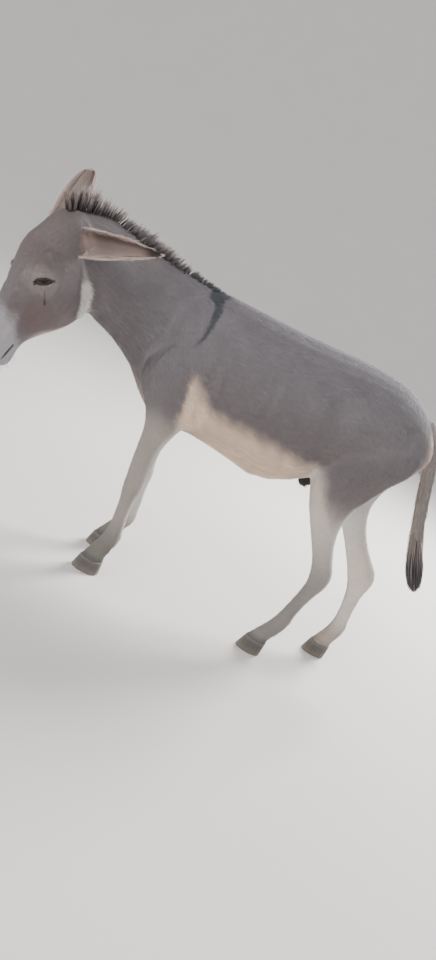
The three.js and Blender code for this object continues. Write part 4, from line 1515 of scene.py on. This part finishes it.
@dataclass
class Mane:
    """The upright mane, in clumps of stiff locks.

    Attributes:
        crest: the line of its roots in the body's frame, with its height, half its width and its
            lean along the line.
    """

    places: Places
    layout: Layout
    clumps: int = 74
    in_clump: int = 22
    crest: Rows = (
        (-0.768, -0.241, 1.076, 0.044, 0.01, -0.05), (-0.753, -0.229, 1.086, 0.07, 0.015, -0.05),
        (-0.715, -0.196, 1.1, 0.074, 0.017, -0.08), (-0.655, -0.148, 1.111, 0.046, 0.016, -0.2),
        (-0.56, -0.084, 1.087, 0.054, 0.015, -0.36), (-0.5, -0.05, 1.075, 0.046, 0.014, -0.4),
        (-0.445, -0.027, 1.065, 0.033, 0.013, -0.4), (-0.35, -0.005, 1.051, 0.018, 0.012, -0.2),
        (-0.29, 0.0, 1.045, 0.014, 0.013, 0.0), (-0.235, 0.0, 1.036, 0.011, 0.013, 0.0),
        (-0.205, 0.0, 1.029, 0.004, 0.008, 0.0),
    )

    def mesh(self) -> Mesh:
        """All the mane's locks."""
        rng = np.random.default_rng(5)
        count = self.clumps * self.in_clump
        spots = (np.arange(self.clumps) + rng.random(self.clumps)) / self.clumps
        clump = np.repeat(spots, self.in_clump)
        share = np.clip(clump + rng.normal(0, 0.0065, count), 0.0, 1.0)
        values, slope = curve_points(self.crest, share)
        along = unit(slope[:, :3])
        up = unit(np.array([0.0, 0.0, 1.0]) - along * along[:, 2:3])
        across = np.cross(up, along)
        place = rng.uniform(-1.0, 1.0, count)
        root = values[:, :3] + across * (place * values[:, 4])[:, None]
        root = root - up * (0.009 + 0.006 * place**2)[:, None]
        own_height = np.repeat(rng.uniform(0.78, 1.08, self.clumps), self.in_clump)
        tall = values[:, 3] * (1 - 0.35 * place**2) * own_height * rng.uniform(0.75, 1.08, count) + 0.012
        pull = np.repeat(rng.normal(0, 1, (self.clumps, 2)), self.in_clump, axis=0)
        own = rng.normal(0, 1, (count, 2))
        head = -along * (values[:, 5:6] + 0.07 * pull[:, :1] + 0.06 * own[:, :1])
        out = across * (0.3 * place + 0.1 * pull[:, 1] + 0.06 * own[:, 1])[:, None]
        gather = (clump - share)[:, None] * np.linalg.norm(slope[:, :3], axis=1, keepdims=True) * along
        steps = np.array([0.0, 0.35, 0.7, 1.0])
        lines = []
        for step in steps:
            rise = up * (tall * step)[:, None]
            bend = (head * step**1.25 + out * step**1.1) * tall[:, None]
            lines.append(root + rise + bend + gather * 0.8 * step)
        half = rng.uniform(0.0009, 0.0015, count)
        halves = np.stack([half, half * 1.05, half * 0.75], axis=1)
        dark, light = np.array(srgb(70, 61, 59)), np.array(srgb(166, 150, 142))
        tones = np.stack([dark * 0.7, dark, dark * 0.6 + light * 0.4, dark * 0.15 + light * 0.85])
        own_tone = rng.normal(1.0, 0.16, count).clip(0.6, 1.5)[:, None, None]
        colours = (tones[None] * own_tone).clip(0.0, 1.0)
        body_end = smooth(-0.7, -0.6, root[:, 0]) * smooth(-0.33, -0.4, root[:, 0])
        mixed = np.maximum(0.45 * np.abs(place) ** 3, 0.5 * body_end)[:, None, None]
        colours = colours * (1 - mixed) + np.array(SHADES.grey) * mixed
        rear = (smooth(-0.44, -0.33, root[:, 0]) * 0.85)[:, None, None]
        colours = colours * (1 - rear) + np.array(SHADES.stripe) * rear
        spots = self.layout.place(self.places.from_body(root), up, np.full(count, Part.NECK))
        middle = self.places.from_body(np.stack(lines, axis=1))
        return Locks(middle, along, across, halves, 0.7, colours, spots).mesh("mane_hair")


@dataclass
class TailHair:
    """The long dark hair of the tail's end and the paler hair above it.

    Attributes:
        dock: the line of the tail in the body's frame, with half its thickness.
    """

    places: Places
    layout: Layout
    dock: Rows = (
        (0.54, 0.0, 0.968, 0.022), (0.588, 0.0, 0.906, 0.024), (0.618, 0.0, 0.835, 0.023),
        (0.641, 0.0, 0.765, 0.022), (0.664, 0.0, 0.695, 0.021), (0.69, 0.0, 0.622, 0.022),
        (0.721, 0.0, 0.548, 0.028), (0.75, 0.0, 0.488, 0.03), (0.777, 0.0, 0.438, 0.02),
        (0.789, 0.0, 0.414, 0.005),
    )

    def strands(self, starts: Array, ends: Array, depth: Array, rng: Rng) -> tuple[Array, ...]:
        """Lines down the tail.

        Args:
            starts: where each begins, as a share of the dock.
            ends: where each ends.
            depth: how far out each lies, as a share of the half thickness.
            rng: the source of chance.

        Returns:
            The lines, the ways across, and the ways out.
        """
        count = len(starts)
        turn = rng.uniform(0, 2 * math.pi, count)
        lines = []
        for step in np.linspace(0.0, 1.0, 6):
            share = starts + (ends - starts) * step
            values, slope = curve_points(self.dock, share)
            along = unit(slope[:, :3])
            left = np.tile([0.0, -1.0, 0.0], (count, 1))
            ahead = unit(np.cross(left, along))
            reach = values[:, 3] * depth * (0.9 + 0.25 * step) + 0.002 * step * np.sin(turn * 7)
            ring = left * (0.85 * np.cos(turn))[:, None] + ahead * np.sin(turn)[:, None]
            wave = left * (np.sin(step * 5 + turn * 3) * 0.0012)[:, None]
            lines.append(values[:, :3] + ring * reach[:, None] + wave)
        middle = np.stack(lines, axis=1)
        way = unit(middle[:, 3] - middle[:, 1])
        face = unit(ring - way * (ring * way).sum(1, keepdims=True))
        return self.places.from_body(middle), np.cross(face, way), face

    def mesh(self) -> Mesh:
        """The hair of the whole tail."""
        rng = np.random.default_rng(8)
        tuft, upper = 760, 420
        starts = np.concatenate([rng.uniform(0.5, 0.8, tuft), rng.uniform(0.08, 0.56, upper)])
        length = np.concatenate([rng.uniform(0.16, 0.38, tuft), rng.uniform(0.09, 0.17, upper)])
        ends = np.minimum(starts + length, rng.uniform(0.9, 1.0, tuft + upper))
        depth = np.concatenate([rng.uniform(0.15, 1.0, tuft), rng.uniform(0.82, 1.02, upper)])
        lines, side, face = self.strands(starts, ends, depth, rng)
        count = tuft + upper
        half = rng.uniform(0.001, 0.0018, count)
        halves = half[:, None] * np.array([0.7, 1.0, 1.0, 0.9, 0.6])[None]
        share = starts[:, None] + (ends - starts)[:, None] * np.linspace(0.0, 1.0, 6)
        low = smooth(0.58, 0.76, share + rng.normal(0, 0.04, count)[:, None])[:, :, None]
        low = low * (rng.random(count) > 0.07)[:, None, None]
        shade = np.array(srgb(160, 146, 138)) * (1 - low) + np.array(srgb(76, 73, 78)) * low
        colours = tinted(shade, count, (0.8, 0.95, 1.0, 1.0, 1.05, 1.1), rng, 0.14)
        spots = self.layout.place(lines[:, 0], face, np.full(count, Part.TAIL))
        return Locks(lines, side, face, halves, 0.6, colours, spots).mesh("tail_hair")


@dataclass
class FaceHair:
    """The eyelashes, and the long stiff hairs of the lips and round the eyes."""

    places: Places
    layout: Layout
    carvers: tuple[FaceCarver, FaceCarver]
    tree: BVHTree

    def lashes(self, carver: FaceCarver, rng: Rng) -> tuple[Array, ...]:
        """The lashes of one eye, from the lids' edges outwards and down."""
        frame = carver.frame()
        lines, side = [], []
        for upper, number, length in ((True, 60, 0.0095), (False, 22, 0.006)):
            along = np.linspace(-0.82, 0.86, number) * carver.opening[0] + rng.normal(0, 0.0003, number)
            top, bottom = carver.edge(along)
            up = (top + 0.0008) if upper else (bottom - 0.0012)
            arc = np.hypot(along, up)
            angle = arc / carver.radius
            flat = np.stack([along, up], axis=1) / np.maximum(arc, 1e-6)[:, None]
            out = np.concatenate([flat * np.sin(angle)[:, None], np.cos(angle)[:, None]], axis=1)
            start = out * (carver.radius + carver.lid - 0.0006)
            sign = 1.0 if upper else -1.0
            fan = along / carver.opening[0]
            reach = length * rng.uniform(0.75, 1.1, number) * (1 - 0.25 * fan**2)
            steps = []
            for t in (0.0, 0.4, 0.75, 1.0):
                push = out * (0.8 * t - 0.18 * t * t)
                push = push + np.array([0.0, sign, 0.0]) * (-0.25 * t + 0.2 * t * t)
                push = push + np.stack([fan * 0.45 * t, 0 * fan, 0 * fan], axis=1)
                steps.append(start + push * reach[:, None])
            lines.append(np.stack(steps, axis=1))
            side.append(np.tile([1.0, 0.0, 0.0], (number, 1)))
        hairs = np.concatenate(lines) @ frame + carver.eye
        world = carver.world(hairs.reshape(-1, 3)).reshape(hairs.shape)
        across = (np.concatenate(side) @ frame * [1, carver.side, 1]) @ self.places.axes
        return world, across

    def whiskers(self, rng: Rng) -> tuple[Array, ...]:
        """Stiff hairs on the lips, the chin and under the eyes."""
        lines = []
        for low, high, number, length in (
            ((0.44, -0.05, -0.14), (0.505, 0.05, -0.1), 46, 0.026),
            ((0.42, -0.055, -0.095), (0.5, 0.055, -0.04), 30, 0.02),
            ((0.215, -0.1, -0.1), (0.24, 0.1, -0.08), 8, 0.024),
        ):
            for _ in range(number):
                start = self.places.from_head(rng.uniform(low, high))
                centre = self.places.from_head([self.places.head(start)[0], 0.0, -0.085])
                away = start - centre
                way = Vector(unit(away) if np.linalg.norm(away) > 1e-6 else (0, 0, 1))
                hit, normal, _, _ = self.tree.ray_cast(Vector(centre) + way * 0.2, -way)
                if hit is None:
                    continue
                grow = np.array(normal) * 0.8 + self.places.axes[0] * 0.45 + rng.normal(0, 0.2, 3)
                grow = unit(grow) * length * rng.uniform(0.5, 1.2)
                sag = np.array([0.0, 0.0, -0.18]) * np.linalg.norm(grow)
                spot = np.array(hit) - np.array(normal) * 0.001
                bend = spot + grow * 0.75 + sag * 0.5
                lines.append([spot, spot + grow * 0.4, bend, spot + grow + sag])
        hairs = np.array(lines)
        return hairs, unit(np.cross(hairs[:, 1] - hairs[:, 0], [0.3, 0.2, 0.9]))

    def mesh(self) -> Mesh:
        """All the stiff hairs of the face."""
        rng = np.random.default_rng(13)
        sets = [self.lashes(carver, rng) for carver in self.carvers]
        lash_count = sum(len(lines) for lines, _ in sets)
        sets.append(self.whiskers(rng))
        lines = np.concatenate([one[0] for one in sets])
        side = unit(np.concatenate([one[1] for one in sets]))
        count = len(lines)
        way = unit(lines[:, 1] - lines[:, 0])
        side = unit(side - way * (side * way).sum(1, keepdims=True))
        face = np.cross(side, way)
        lash = np.arange(count) < lash_count
        half = np.where(lash, 0.0005, 0.00026)
        halves = half[:, None] * np.array([1.0, 0.9, 0.6])[None]
        shade = np.where(lash[:, None], np.array(srgb(58, 50, 48)), np.array(srgb(120, 108, 102)))
        colours = tinted(shade, count, (1.0, 1.0, 1.0, 1.1), rng, 0.1)
        spots = self.layout.place(lines[:, 0], face, np.full(count, Part.HEAD))
        return Locks(lines, side, face, halves, 0.8, colours, spots).mesh("lashes_and_whiskers")


# --- eyes and hooves
@dataclass
class Eye:
    """An eyeball with a clear bulge over a dark iris and a level, oval pupil."""

    carver: FaceCarver
    bulge: float = 0.0012
    iris: float = 0.0135

    def mesh(self, name: str) -> Mesh:
        """The eyeball in place, with its front laid out flat for its material."""
        carver = self.carver
        form = bmesh.new()
        bmesh.ops.create_uvsphere(form, u_segments=64, v_segments=48, radius=carver.radius)
        gaze = form.verts.layers.float_vector.new("Gaze")
        for vert in form.verts:
            flat = math.hypot(vert.co.x, vert.co.y)
            vert[gaze] = (vert.co.x, vert.co.y, vert.co.z)
            if vert.co.z > 0 and flat < self.iris * 1.25:
                share = 1 - (flat / (self.iris * 1.25)) ** 2
                vert.co *= 1 + self.bulge / carver.radius * share
        frame = carver.frame() * [1, carver.side, 1]
        turn = frame @ carver.places.axes
        middle = carver.world(np.array(carver.eye))
        matrix = Matrix(turn.T.tolist()).to_4x4()
        bmesh.ops.transform(form, matrix=Matrix.Translation(middle) @ matrix, verts=form.verts)
        bmesh.ops.recalc_face_normals(form, faces=form.faces)
        return made(form, name)


@dataclass
class Hoof:
    """A small upright hoof with growth rings, a coronet and a flat ground edge."""

    node: Piece
    voxel: float = 0.0022
    ring: float = 0.0062
    ring_depth: float = 0.00045
    coronet: float = 0.0085

    def mesh(self, name: str) -> Mesh:
        """The hoof, grown from its solid."""
        form = bmesh.new()
        form.from_mesh(self.node.data)
        bmesh.ops.remove_doubles(form, verts=form.verts, dist=1e-5)
        mesh = made(form, name)
        mesh = finished(mesh, ("REMESH", {"mode": "VOXEL", "voxel_size": self.voxel}))
        points, _, edges = mesh_arrays(mesh)
        put_points(mesh, relax(points, edges, np.full(len(points), 5.0)))
        points, normals, _ = mesh_arrays(mesh)
        height = points[:, 2]
        top = height.max()
        wall = smooth(0.55, 0.15, np.abs(normals[:, 2]))
        uneven = ripple(points, 0.03, 12) * 0.25
        waves = np.cos((height - points[:, 0] * 0.12) / self.ring * 2 * math.pi + uneven * 2.0)
        rise = waves * self.ring_depth * (0.6 + 0.4 * ripple(points, 0.05, 15))
        rise = rise + 0.0012 * smooth(self.coronet, self.coronet * 0.35, top - height)
        chips = np.minimum(ripple(points, 0.012, 18), 0.0) * smooth(0.012, 0.002, height) * 0.0012
        points = points + normals * ((rise + chips) * wall)[:, None]
        sole = normals[:, 2] < -0.8
        points[sole | (points[:, 2] < 0.0006), 2] = 0.0
        put_points(mesh, points)
        return mesh


# --- materials
class Wire:
    """A shader socket, or a number, in an expression."""

    def __init__(self, shader: "Shader", socket: Any) -> None:
        """Wraps a socket of a shader's tree."""
        self.shader = shader
        self.socket = socket

    def _math(self, operation: str, first: Any, second: Any) -> "Wire":
        """A Math node on two values."""
        node = self.shader.node("Math", {"operation": operation}, {0: first, 1: second})
        return self.shader.wire(node, 0)

    def __add__(self, other: Any) -> "Wire":
        """The sum."""
        return self._math("ADD", self, other)

    def __sub__(self, other: Any) -> "Wire":
        """The difference."""
        return self._math("SUBTRACT", self, other)

    def __rsub__(self, other: Any) -> "Wire":
        """The difference, the other way round."""
        return self._math("SUBTRACT", other, self)

    def __mul__(self, other: Any) -> "Wire":
        """The product."""
        return self._math("MULTIPLY", self, other)

    def __truediv__(self, other: Any) -> "Wire":
        """The quotient."""
        return self._math("DIVIDE", self, other)

    def __pow__(self, other: Any) -> "Wire":
        """The power."""
        return self._math("POWER", self, other)

    __radd__ = __add__
    __rmul__ = __mul__

    def step(self, low: float, high: float) -> "Wire":
        """A soft step from 0 at `low` to 1 at `high`."""
        settings = {"interpolation_type": "SMOOTHSTEP"}
        inputs = {"Value": self, "From Min": low, "From Max": high, "To Min": 0.0, "To Max": 1.0}
        return self.shader.wire(self.shader.node("MapRange", settings, inputs), "Result")


class Shader:
    """One material, whose nodes are made by expressions."""

    def __init__(self, name: str, constants: dict[str, Any]) -> None:
        """Starts a material with the constants of its main shader."""
        self.material = bpy.data.materials.new(name)
        self.material.use_nodes = True
        self.tree = self.material.node_tree
        self.main = self.tree.nodes["Principled BSDF"]
        for key, value in constants.items():
            self.main.inputs[key].default_value = value

    def node(self, kind: str, settings: dict[str, Any], inputs: dict[Any, Any]) -> bpy.types.Node:
        """A node of any type.

        Args:
            kind: the type without its ShaderNode prefix.
            settings: the node's own settings.
            inputs: a value or a link for each socket, by name or number.

        Returns:
            The node.
        """
        made = self.tree.nodes.new("ShaderNode" + kind)
        for key, value in settings.items():
            setattr(made, key, value)
        for key, value in inputs.items():
            if isinstance(value, Wire):
                self.tree.links.new(value.socket, made.inputs[key])
            else:
                made.inputs[key].default_value = value
        return made

    def wire(self, node: bpy.types.Node, output: str | int) -> Wire:
        """A node's output, for use in expressions."""
        return Wire(self, node.outputs[output])

    def attribute(self, name: str, output: str) -> Wire:
        """A value that the mesh carries."""
        return self.wire(self.node("Attribute", {"attribute_name": name}, {}), output)

    def place(self) -> Wire:
        """The place on the object."""
        return self.wire(self.node("TexCoord", {}, {}), "Object")

    def stretch(self, vector: Wire, scale: Point) -> Wire:
        """A vector scaled along its axes."""
        node = self.node("VectorMath", {"operation": "MULTIPLY"}, {0: vector, 1: scale})
        return self.wire(node, 0)

    def noise(self, vector: Wire, scale: float, detail: float = 2.0) -> Wire:
        """Soft noise between 0 and 1."""
        node = self.node("TexNoise", {}, {"Vector": vector, "Scale": scale, "Detail": detail})
        return self.wire(node, "Fac")

    def mix(self, factor: Any, first: Any, second: Any, blend: str = "MIX") -> Wire:
        """Two colours mixed."""
        node = self.node("Mix", {"data_type": "RGBA", "blend_type": blend}, {})
        for number, value in zip((0, 6, 7), (factor, first, second)):
            socket = node.inputs[number]
            if isinstance(value, Wire):
                self.tree.links.new(value.socket, socket)
            elif isinstance(value, (int, float)) and socket.type == "RGBA":
                socket.default_value = (value, value, value, 1.0)
            else:
                socket.default_value = value if isinstance(value, (int, float)) else (*value, 1.0)
        return self.wire(node, 2)

    def grey(self, value: Wire) -> Wire:
        """A number as a colour of equal parts."""
        node = self.node("CombineColor", {}, {"Red": value, "Green": value, "Blue": value})
        return self.wire(node, "Color")

    def feed(self, socket: str, value: Wire) -> None:
        """Links a value to the main shader."""
        self.tree.links.new(value.socket, self.main.inputs[socket])

    def tint(self, shade: Wire) -> None:
        """Gives the surface the colour that its mesh carries, times a shade."""
        colour = self.mix(1.0, self.attribute(COAT_COLOUR, "Color"), self.grey(shade), "MULTIPLY")
        self.feed("Base Color", colour)

    def bump(self, height: Wire, depth: float, strength: float) -> None:
        """Raises the surface by a height between 0 and 1."""
        inputs = {"Height": height, "Distance": depth, "Strength": strength}
        self.feed("Normal", self.wire(self.node("Bump", {}, inputs), "Normal"))


@dataclass(frozen=True)
class SkinFinish:
    """Short hair on skin: the coat's colours, broken up by fine streaks that stand in relief."""

    roughness: float = 0.78
    streak_scale: float = 260.0
    depth: float = 0.0012

    def material(self) -> Material:
        """The skin's material."""
        shader = Shader("short_coat", {"Roughness": self.roughness, "Specular IOR Level": 0.25})
        place = shader.place()
        fine = shader.noise(shader.stretch(place, (0.3, 1.0, 1.0)), self.streak_scale, 3.0)
        broad = shader.noise(place, 28.0, 3.0)
        shade = 0.8 + fine * 0.22 + broad * 0.14
        shader.tint(shade)
        shader.feed("Roughness", 0.66 + fine * 0.25)
        shader.bump(fine, self.depth, 0.55)
        return shader.material


@dataclass(frozen=True)
class HairFinish:
    """Hair in locks: the locks' own colours with a soft gloss."""

    name: str
    roughness: float
    grain: float = 420.0

    def material(self) -> Material:
        """The hair's material."""
        shader = Shader(self.name, {"Roughness": self.roughness, "Specular IOR Level": 0.3})
        grain = shader.noise(shader.place(), self.grain, 2.0)
        shader.tint(0.86 + grain * 0.28)
        shader.feed("Roughness", self.roughness - 0.1 + grain * 0.2)
        shader.bump(grain, 0.0003, 0.35)
        return shader.material


@dataclass(frozen=True)
class EyeFinish:
    """A wet dark eye: brown iris with fine spokes, level pupil, dusky white."""

    iris: float = 0.0135
    pupil: tuple[float, float] = (0.0075, 0.0042)

    def material(self) -> Material:
        """The eye's material."""
        shader = Shader("eye", {"Roughness": 0.06, "IOR": 1.376, "Specular IOR Level": 0.6})
        gaze = shader.attribute("Gaze", "Vector")
        parts = shader.node("SeparateXYZ", {}, {0: gaze})
        x, y = shader.wire(parts, 0), shader.wire(parts, 1)
        radius = (x * x + y * y) ** 0.5
        spokes = shader.noise(shader.stretch(gaze, (1.0, 1.0, 0.1)), 900.0, 2.0)
        brown = shader.mix(spokes.step(0.35, 0.7), srgb(58, 44, 38), srgb(84, 66, 56))
        brown = shader.mix(radius.step(self.iris * 0.72, self.iris), brown, srgb(36, 29, 28))
        white = shader.mix(spokes, srgb(74, 62, 58), srgb(96, 82, 77))
        colour = shader.mix(radius.step(self.iris * 0.98, self.iris * 1.06), brown, white)
        pupil = ((x / self.pupil[0]) ** 2.0 + (y / self.pupil[1]) ** 2.0) ** 0.5
        shader.feed("Base Color", shader.mix(pupil.step(0.92, 1.08), srgb(22, 20, 23), colour))
        shader.feed("Roughness", 0.05 + spokes * 0.03)
        return shader.material


@dataclass(frozen=True)
class HornFinish:
    """Hoof horn: upright streaks, growth rings, dust towards the ground."""

    roughness: float = 0.62

    def material(self) -> Material:
        """The hooves' material."""
        shader = Shader("hoof_horn", {"Roughness": self.roughness, "Specular IOR Level": 0.35})
        place = shader.place()
        streak = shader.noise(shader.stretch(place, (1.0, 1.0, 0.1)), 320.0, 3.0)
        cloud = shader.noise(place, 45.0, 3.0)
        height = shader.wire(shader.node("SeparateXYZ", {}, {0: place}), 2)
        horn = shader.mix(streak, srgb(72, 69, 65), srgb(106, 102, 97))
        horn = shader.mix(height.step(0.038, 0.052), horn, srgb(112, 106, 101))
        dust = (1.0 - height.step(0.0, 0.03)) * (0.35 + cloud * 0.6)
        shader.feed("Base Color", shader.mix(dust, horn, srgb(134, 125, 116)))
        shader.feed("Roughness", 0.5 + cloud * 0.35)
        shader.bump(streak * 0.7 + cloud * 0.3, 0.0006, 0.6)
        return shader.material


@dataclass(frozen=True)
class FloorFinish:
    """A pale, plain floor."""

    def material(self) -> Material:
        """The floor's material."""
        shader = Shader("floor", {"Roughness": 0.9})
        cloud = shader.noise(shader.place(), 1.5, 2.0)
        shader.feed("Base Color", shader.mix(cloud, srgb(226, 222, 217), srgb(231, 228, 223)))
        return shader.material


# --- the studio
@dataclass(frozen=True)
class Studio:
    """The floor, the light and the camera."""

    eye: Point = (0.0415, -2.6433, 1.17)
    right: Point = (0.897, 0.112, 0.429)
    up: Point = (-0.4435, 0.226, 0.868)
    focal_mm: float = 30.0
    film_mm: float = 36.0
    flat: float = 8.0
    sweep: float = 12.0
    sweep_steps: int = 24

    def camera(self) -> None:
        """Sets the camera, tipped down and rolled as on a slope."""
        data = bpy.data.cameras.new("camera")
        data.sensor_fit = "VERTICAL"
        data.sensor_height = self.film_mm
        data.lens = self.focal_mm
        data.clip_start = 0.05
        data.clip_end = 100.0
        camera = linked("camera", data)
        right, up = unit(np.array(self.right)), np.array(self.up)
        up = unit(up - right * (up @ right))
        rows = np.stack([right, up, np.cross(right, up)])
        turn = Matrix(rows.T.tolist())
        camera.matrix_world = Matrix.Translation(self.eye) @ turn.to_4x4()
        bpy.context.scene.camera = camera

    def floor(self, material: Material) -> None:
        """Lays a wide pale floor that sweeps up into a wall all round, with no corner."""
        form = bmesh.new()
        steps = [i / self.sweep_steps * math.pi / 2 for i in range(self.sweep_steps + 1)]
        curve = [(self.flat + self.sweep * math.sin(a), self.sweep * (1 - math.cos(a))) for a in steps]
        rim = [form.verts.new((x, 0.0, z)) for x, z in [(0.0, 0.0)] + curve]
        edges = [form.edges.new(pair) for pair in zip(rim[:-1], rim[1:])]
        bmesh.ops.spin(
            form, geom=rim + edges, cent=(0, 0, 0), axis=(0, 0, 1),
            angle=2 * math.pi, steps=96, use_merge=True,
        )
        bmesh.ops.remove_doubles(form, verts=form.verts, dist=1e-5)
        bmesh.ops.recalc_face_normals(form, faces=form.faces)
        bmesh.ops.reverse_faces(form, faces=[face for face in form.faces if face.normal.z < 0])
        mesh = made(form, "floor")
        add_object("floor", mesh, material)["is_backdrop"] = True

    def light(self) -> None:
        """Hangs broad soft lights and a pale surround."""
        world = bpy.data.worlds.new("surround")
        world.use_nodes = True
        background = world.node_tree.nodes["Background"]
        background.inputs["Color"].default_value = (0.86, 0.88, 0.92, 1.0)
        background.inputs["Strength"].default_value = 1.0
        bpy.context.scene.world = world
        for name, place, size, power in (
            ("key", (-1.6, -3.4, 4.2), 3.0, 80.0),
            ("fill", (-3.4, -1.0, 1.6), 3.0, 30.0),
            ("back", (2.2, 2.6, 3.2), 1.6, 420.0),
        ):
            data = bpy.data.lights.new(name, "AREA")
            data.shape = "DISK"
            data.size = size
            data.energy = power
            lamp = linked(name, data)
            lamp.location = place
            aim = Vector((0.0, 0.0, 0.6)) - Vector(place)
            lamp.rotation_euler = aim.to_track_quat("-Z", "Y").to_euler()


# --- the whole animal
@dataclass
class Donkey:
    """The animal: its skin, coat, mane, tail, eyes and hooves."""

    frame: dict[str, Any]
    places: Places = field(init=False)
    carvers: tuple[FaceCarver, FaceCarver] = field(init=False)

    def __post_init__(self) -> None:
        """Finds the animal's own frames."""
        self.places = Places()
        self.carvers = (FaceCarver(self.places, 1), FaceCarver(self.places, -1))

    def settle(self, piece: Piece, slot: str, *replaced: str) -> None:
        """Fixes a piece to the animal and hides the solids that it replaces."""
        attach(piece, "root")
        if replaced:
            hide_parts(*replaced)
        log.info("%s: %d faces", piece.name, len(piece.data.polygons))

    def build(self) -> None:
        """Makes every piece in turn."""
        nodes = self.frame["nodes"]
        skin = Skin(self.places, nodes)
        mesh = skin.build()
        markings = Markings(self.places, self.carvers)
        set_colour(mesh, markings.paint(skin.points, skin.normals, skin.part))
        layout = Layout(self.places, skin)
        piece = add_object("skin", mesh, SkinFinish().material())
        covered = [name for name in skin.members() if "hoof" not in name]
        self.settle(piece, "grey_coat", *covered, *skin.small)
        self.eyes()
        self.hooves(nodes)
        self.long_hair(mesh, layout)
        self.coat(skin, mesh, markings, layout)

    def eyes(self) -> None:
        """Both eyes."""
        finish = EyeFinish().material()
        for carver, name in zip(self.carvers, ("eye_left", "eye_right")):
            piece = add_object(name + "_ball", Eye(carver).mesh(name + "_ball"), finish)
            self.settle(piece, "eye", name)

    def hooves(self, nodes: dict[str, Piece]) -> None:
        """All four hooves."""
        finish = HornFinish().material()
        for end in ("fore", "hind"):
            for side in ("left", "right"):
                name = f"{end}_hoof_{side}"
                piece = add_object(name + "_horn", Hoof(nodes[name]).mesh(name + "_horn"), finish)
                self.settle(piece, "hoof_horn", name)

    def long_hair(self, mesh: Mesh, layout: Layout) -> None:
        """The mane, the tail's hair, the lashes and the whiskers."""
        coarse = HairFinish("coarse_hair", 0.62).material()
        piece = add_object("mane_hair", Mane(self.places, layout).mesh(), coarse)
        self.settle(piece, "dark_hair", "mane")
        piece = add_object("tail_hair", TailHair(self.places, layout).mesh(), coarse)
        self.settle(piece, "dark_hair", "tail_tuft")
        form = bmesh.new()
        form.from_mesh(mesh)
        face = FaceHair(self.places, layout, self.carvers, BVHTree.FromBMesh(form))
        form.free()
        piece = add_object("lashes_and_whiskers", face.mesh(), coarse)
        self.settle(piece, "dark_hair")

    def coat(self, skin: Skin, mesh: Mesh, markings: Markings, layout: Layout) -> None:
        """The short coat, in pieces by region."""
        finish = HairFinish("coat_hair", 0.8).material()
        coat = Coat(self.places, markings, layout, self.carvers)
        roots = coat.sow(skin, mesh, Comb(self.places).lie(skin))
        roots = roots.pick(~coat.bare(roots))
        for number, (name, mine) in enumerate(coat.pieces(roots).items()):
            piece = add_object(name, coat.grow(roots.pick(mine), name, 30 + number), finish)
            self.settle(piece, "grey_coat")


def corners() -> list[list[float]]:
    """The lowest and highest corner of all that shows, as plain numbers."""
    return [[float(value) for value in corner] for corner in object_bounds()]


def main() -> None:
    """Builds the scene."""
    logging.basicConfig(level=logging.INFO, format="%(name)s: %(message)s")
    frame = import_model()
    studio = Studio()
    studio.camera()
    studio.light()
    studio.floor(FloorFinish().material())
    Donkey(frame).build()
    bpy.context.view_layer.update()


if __name__ == "__main__":
    main()
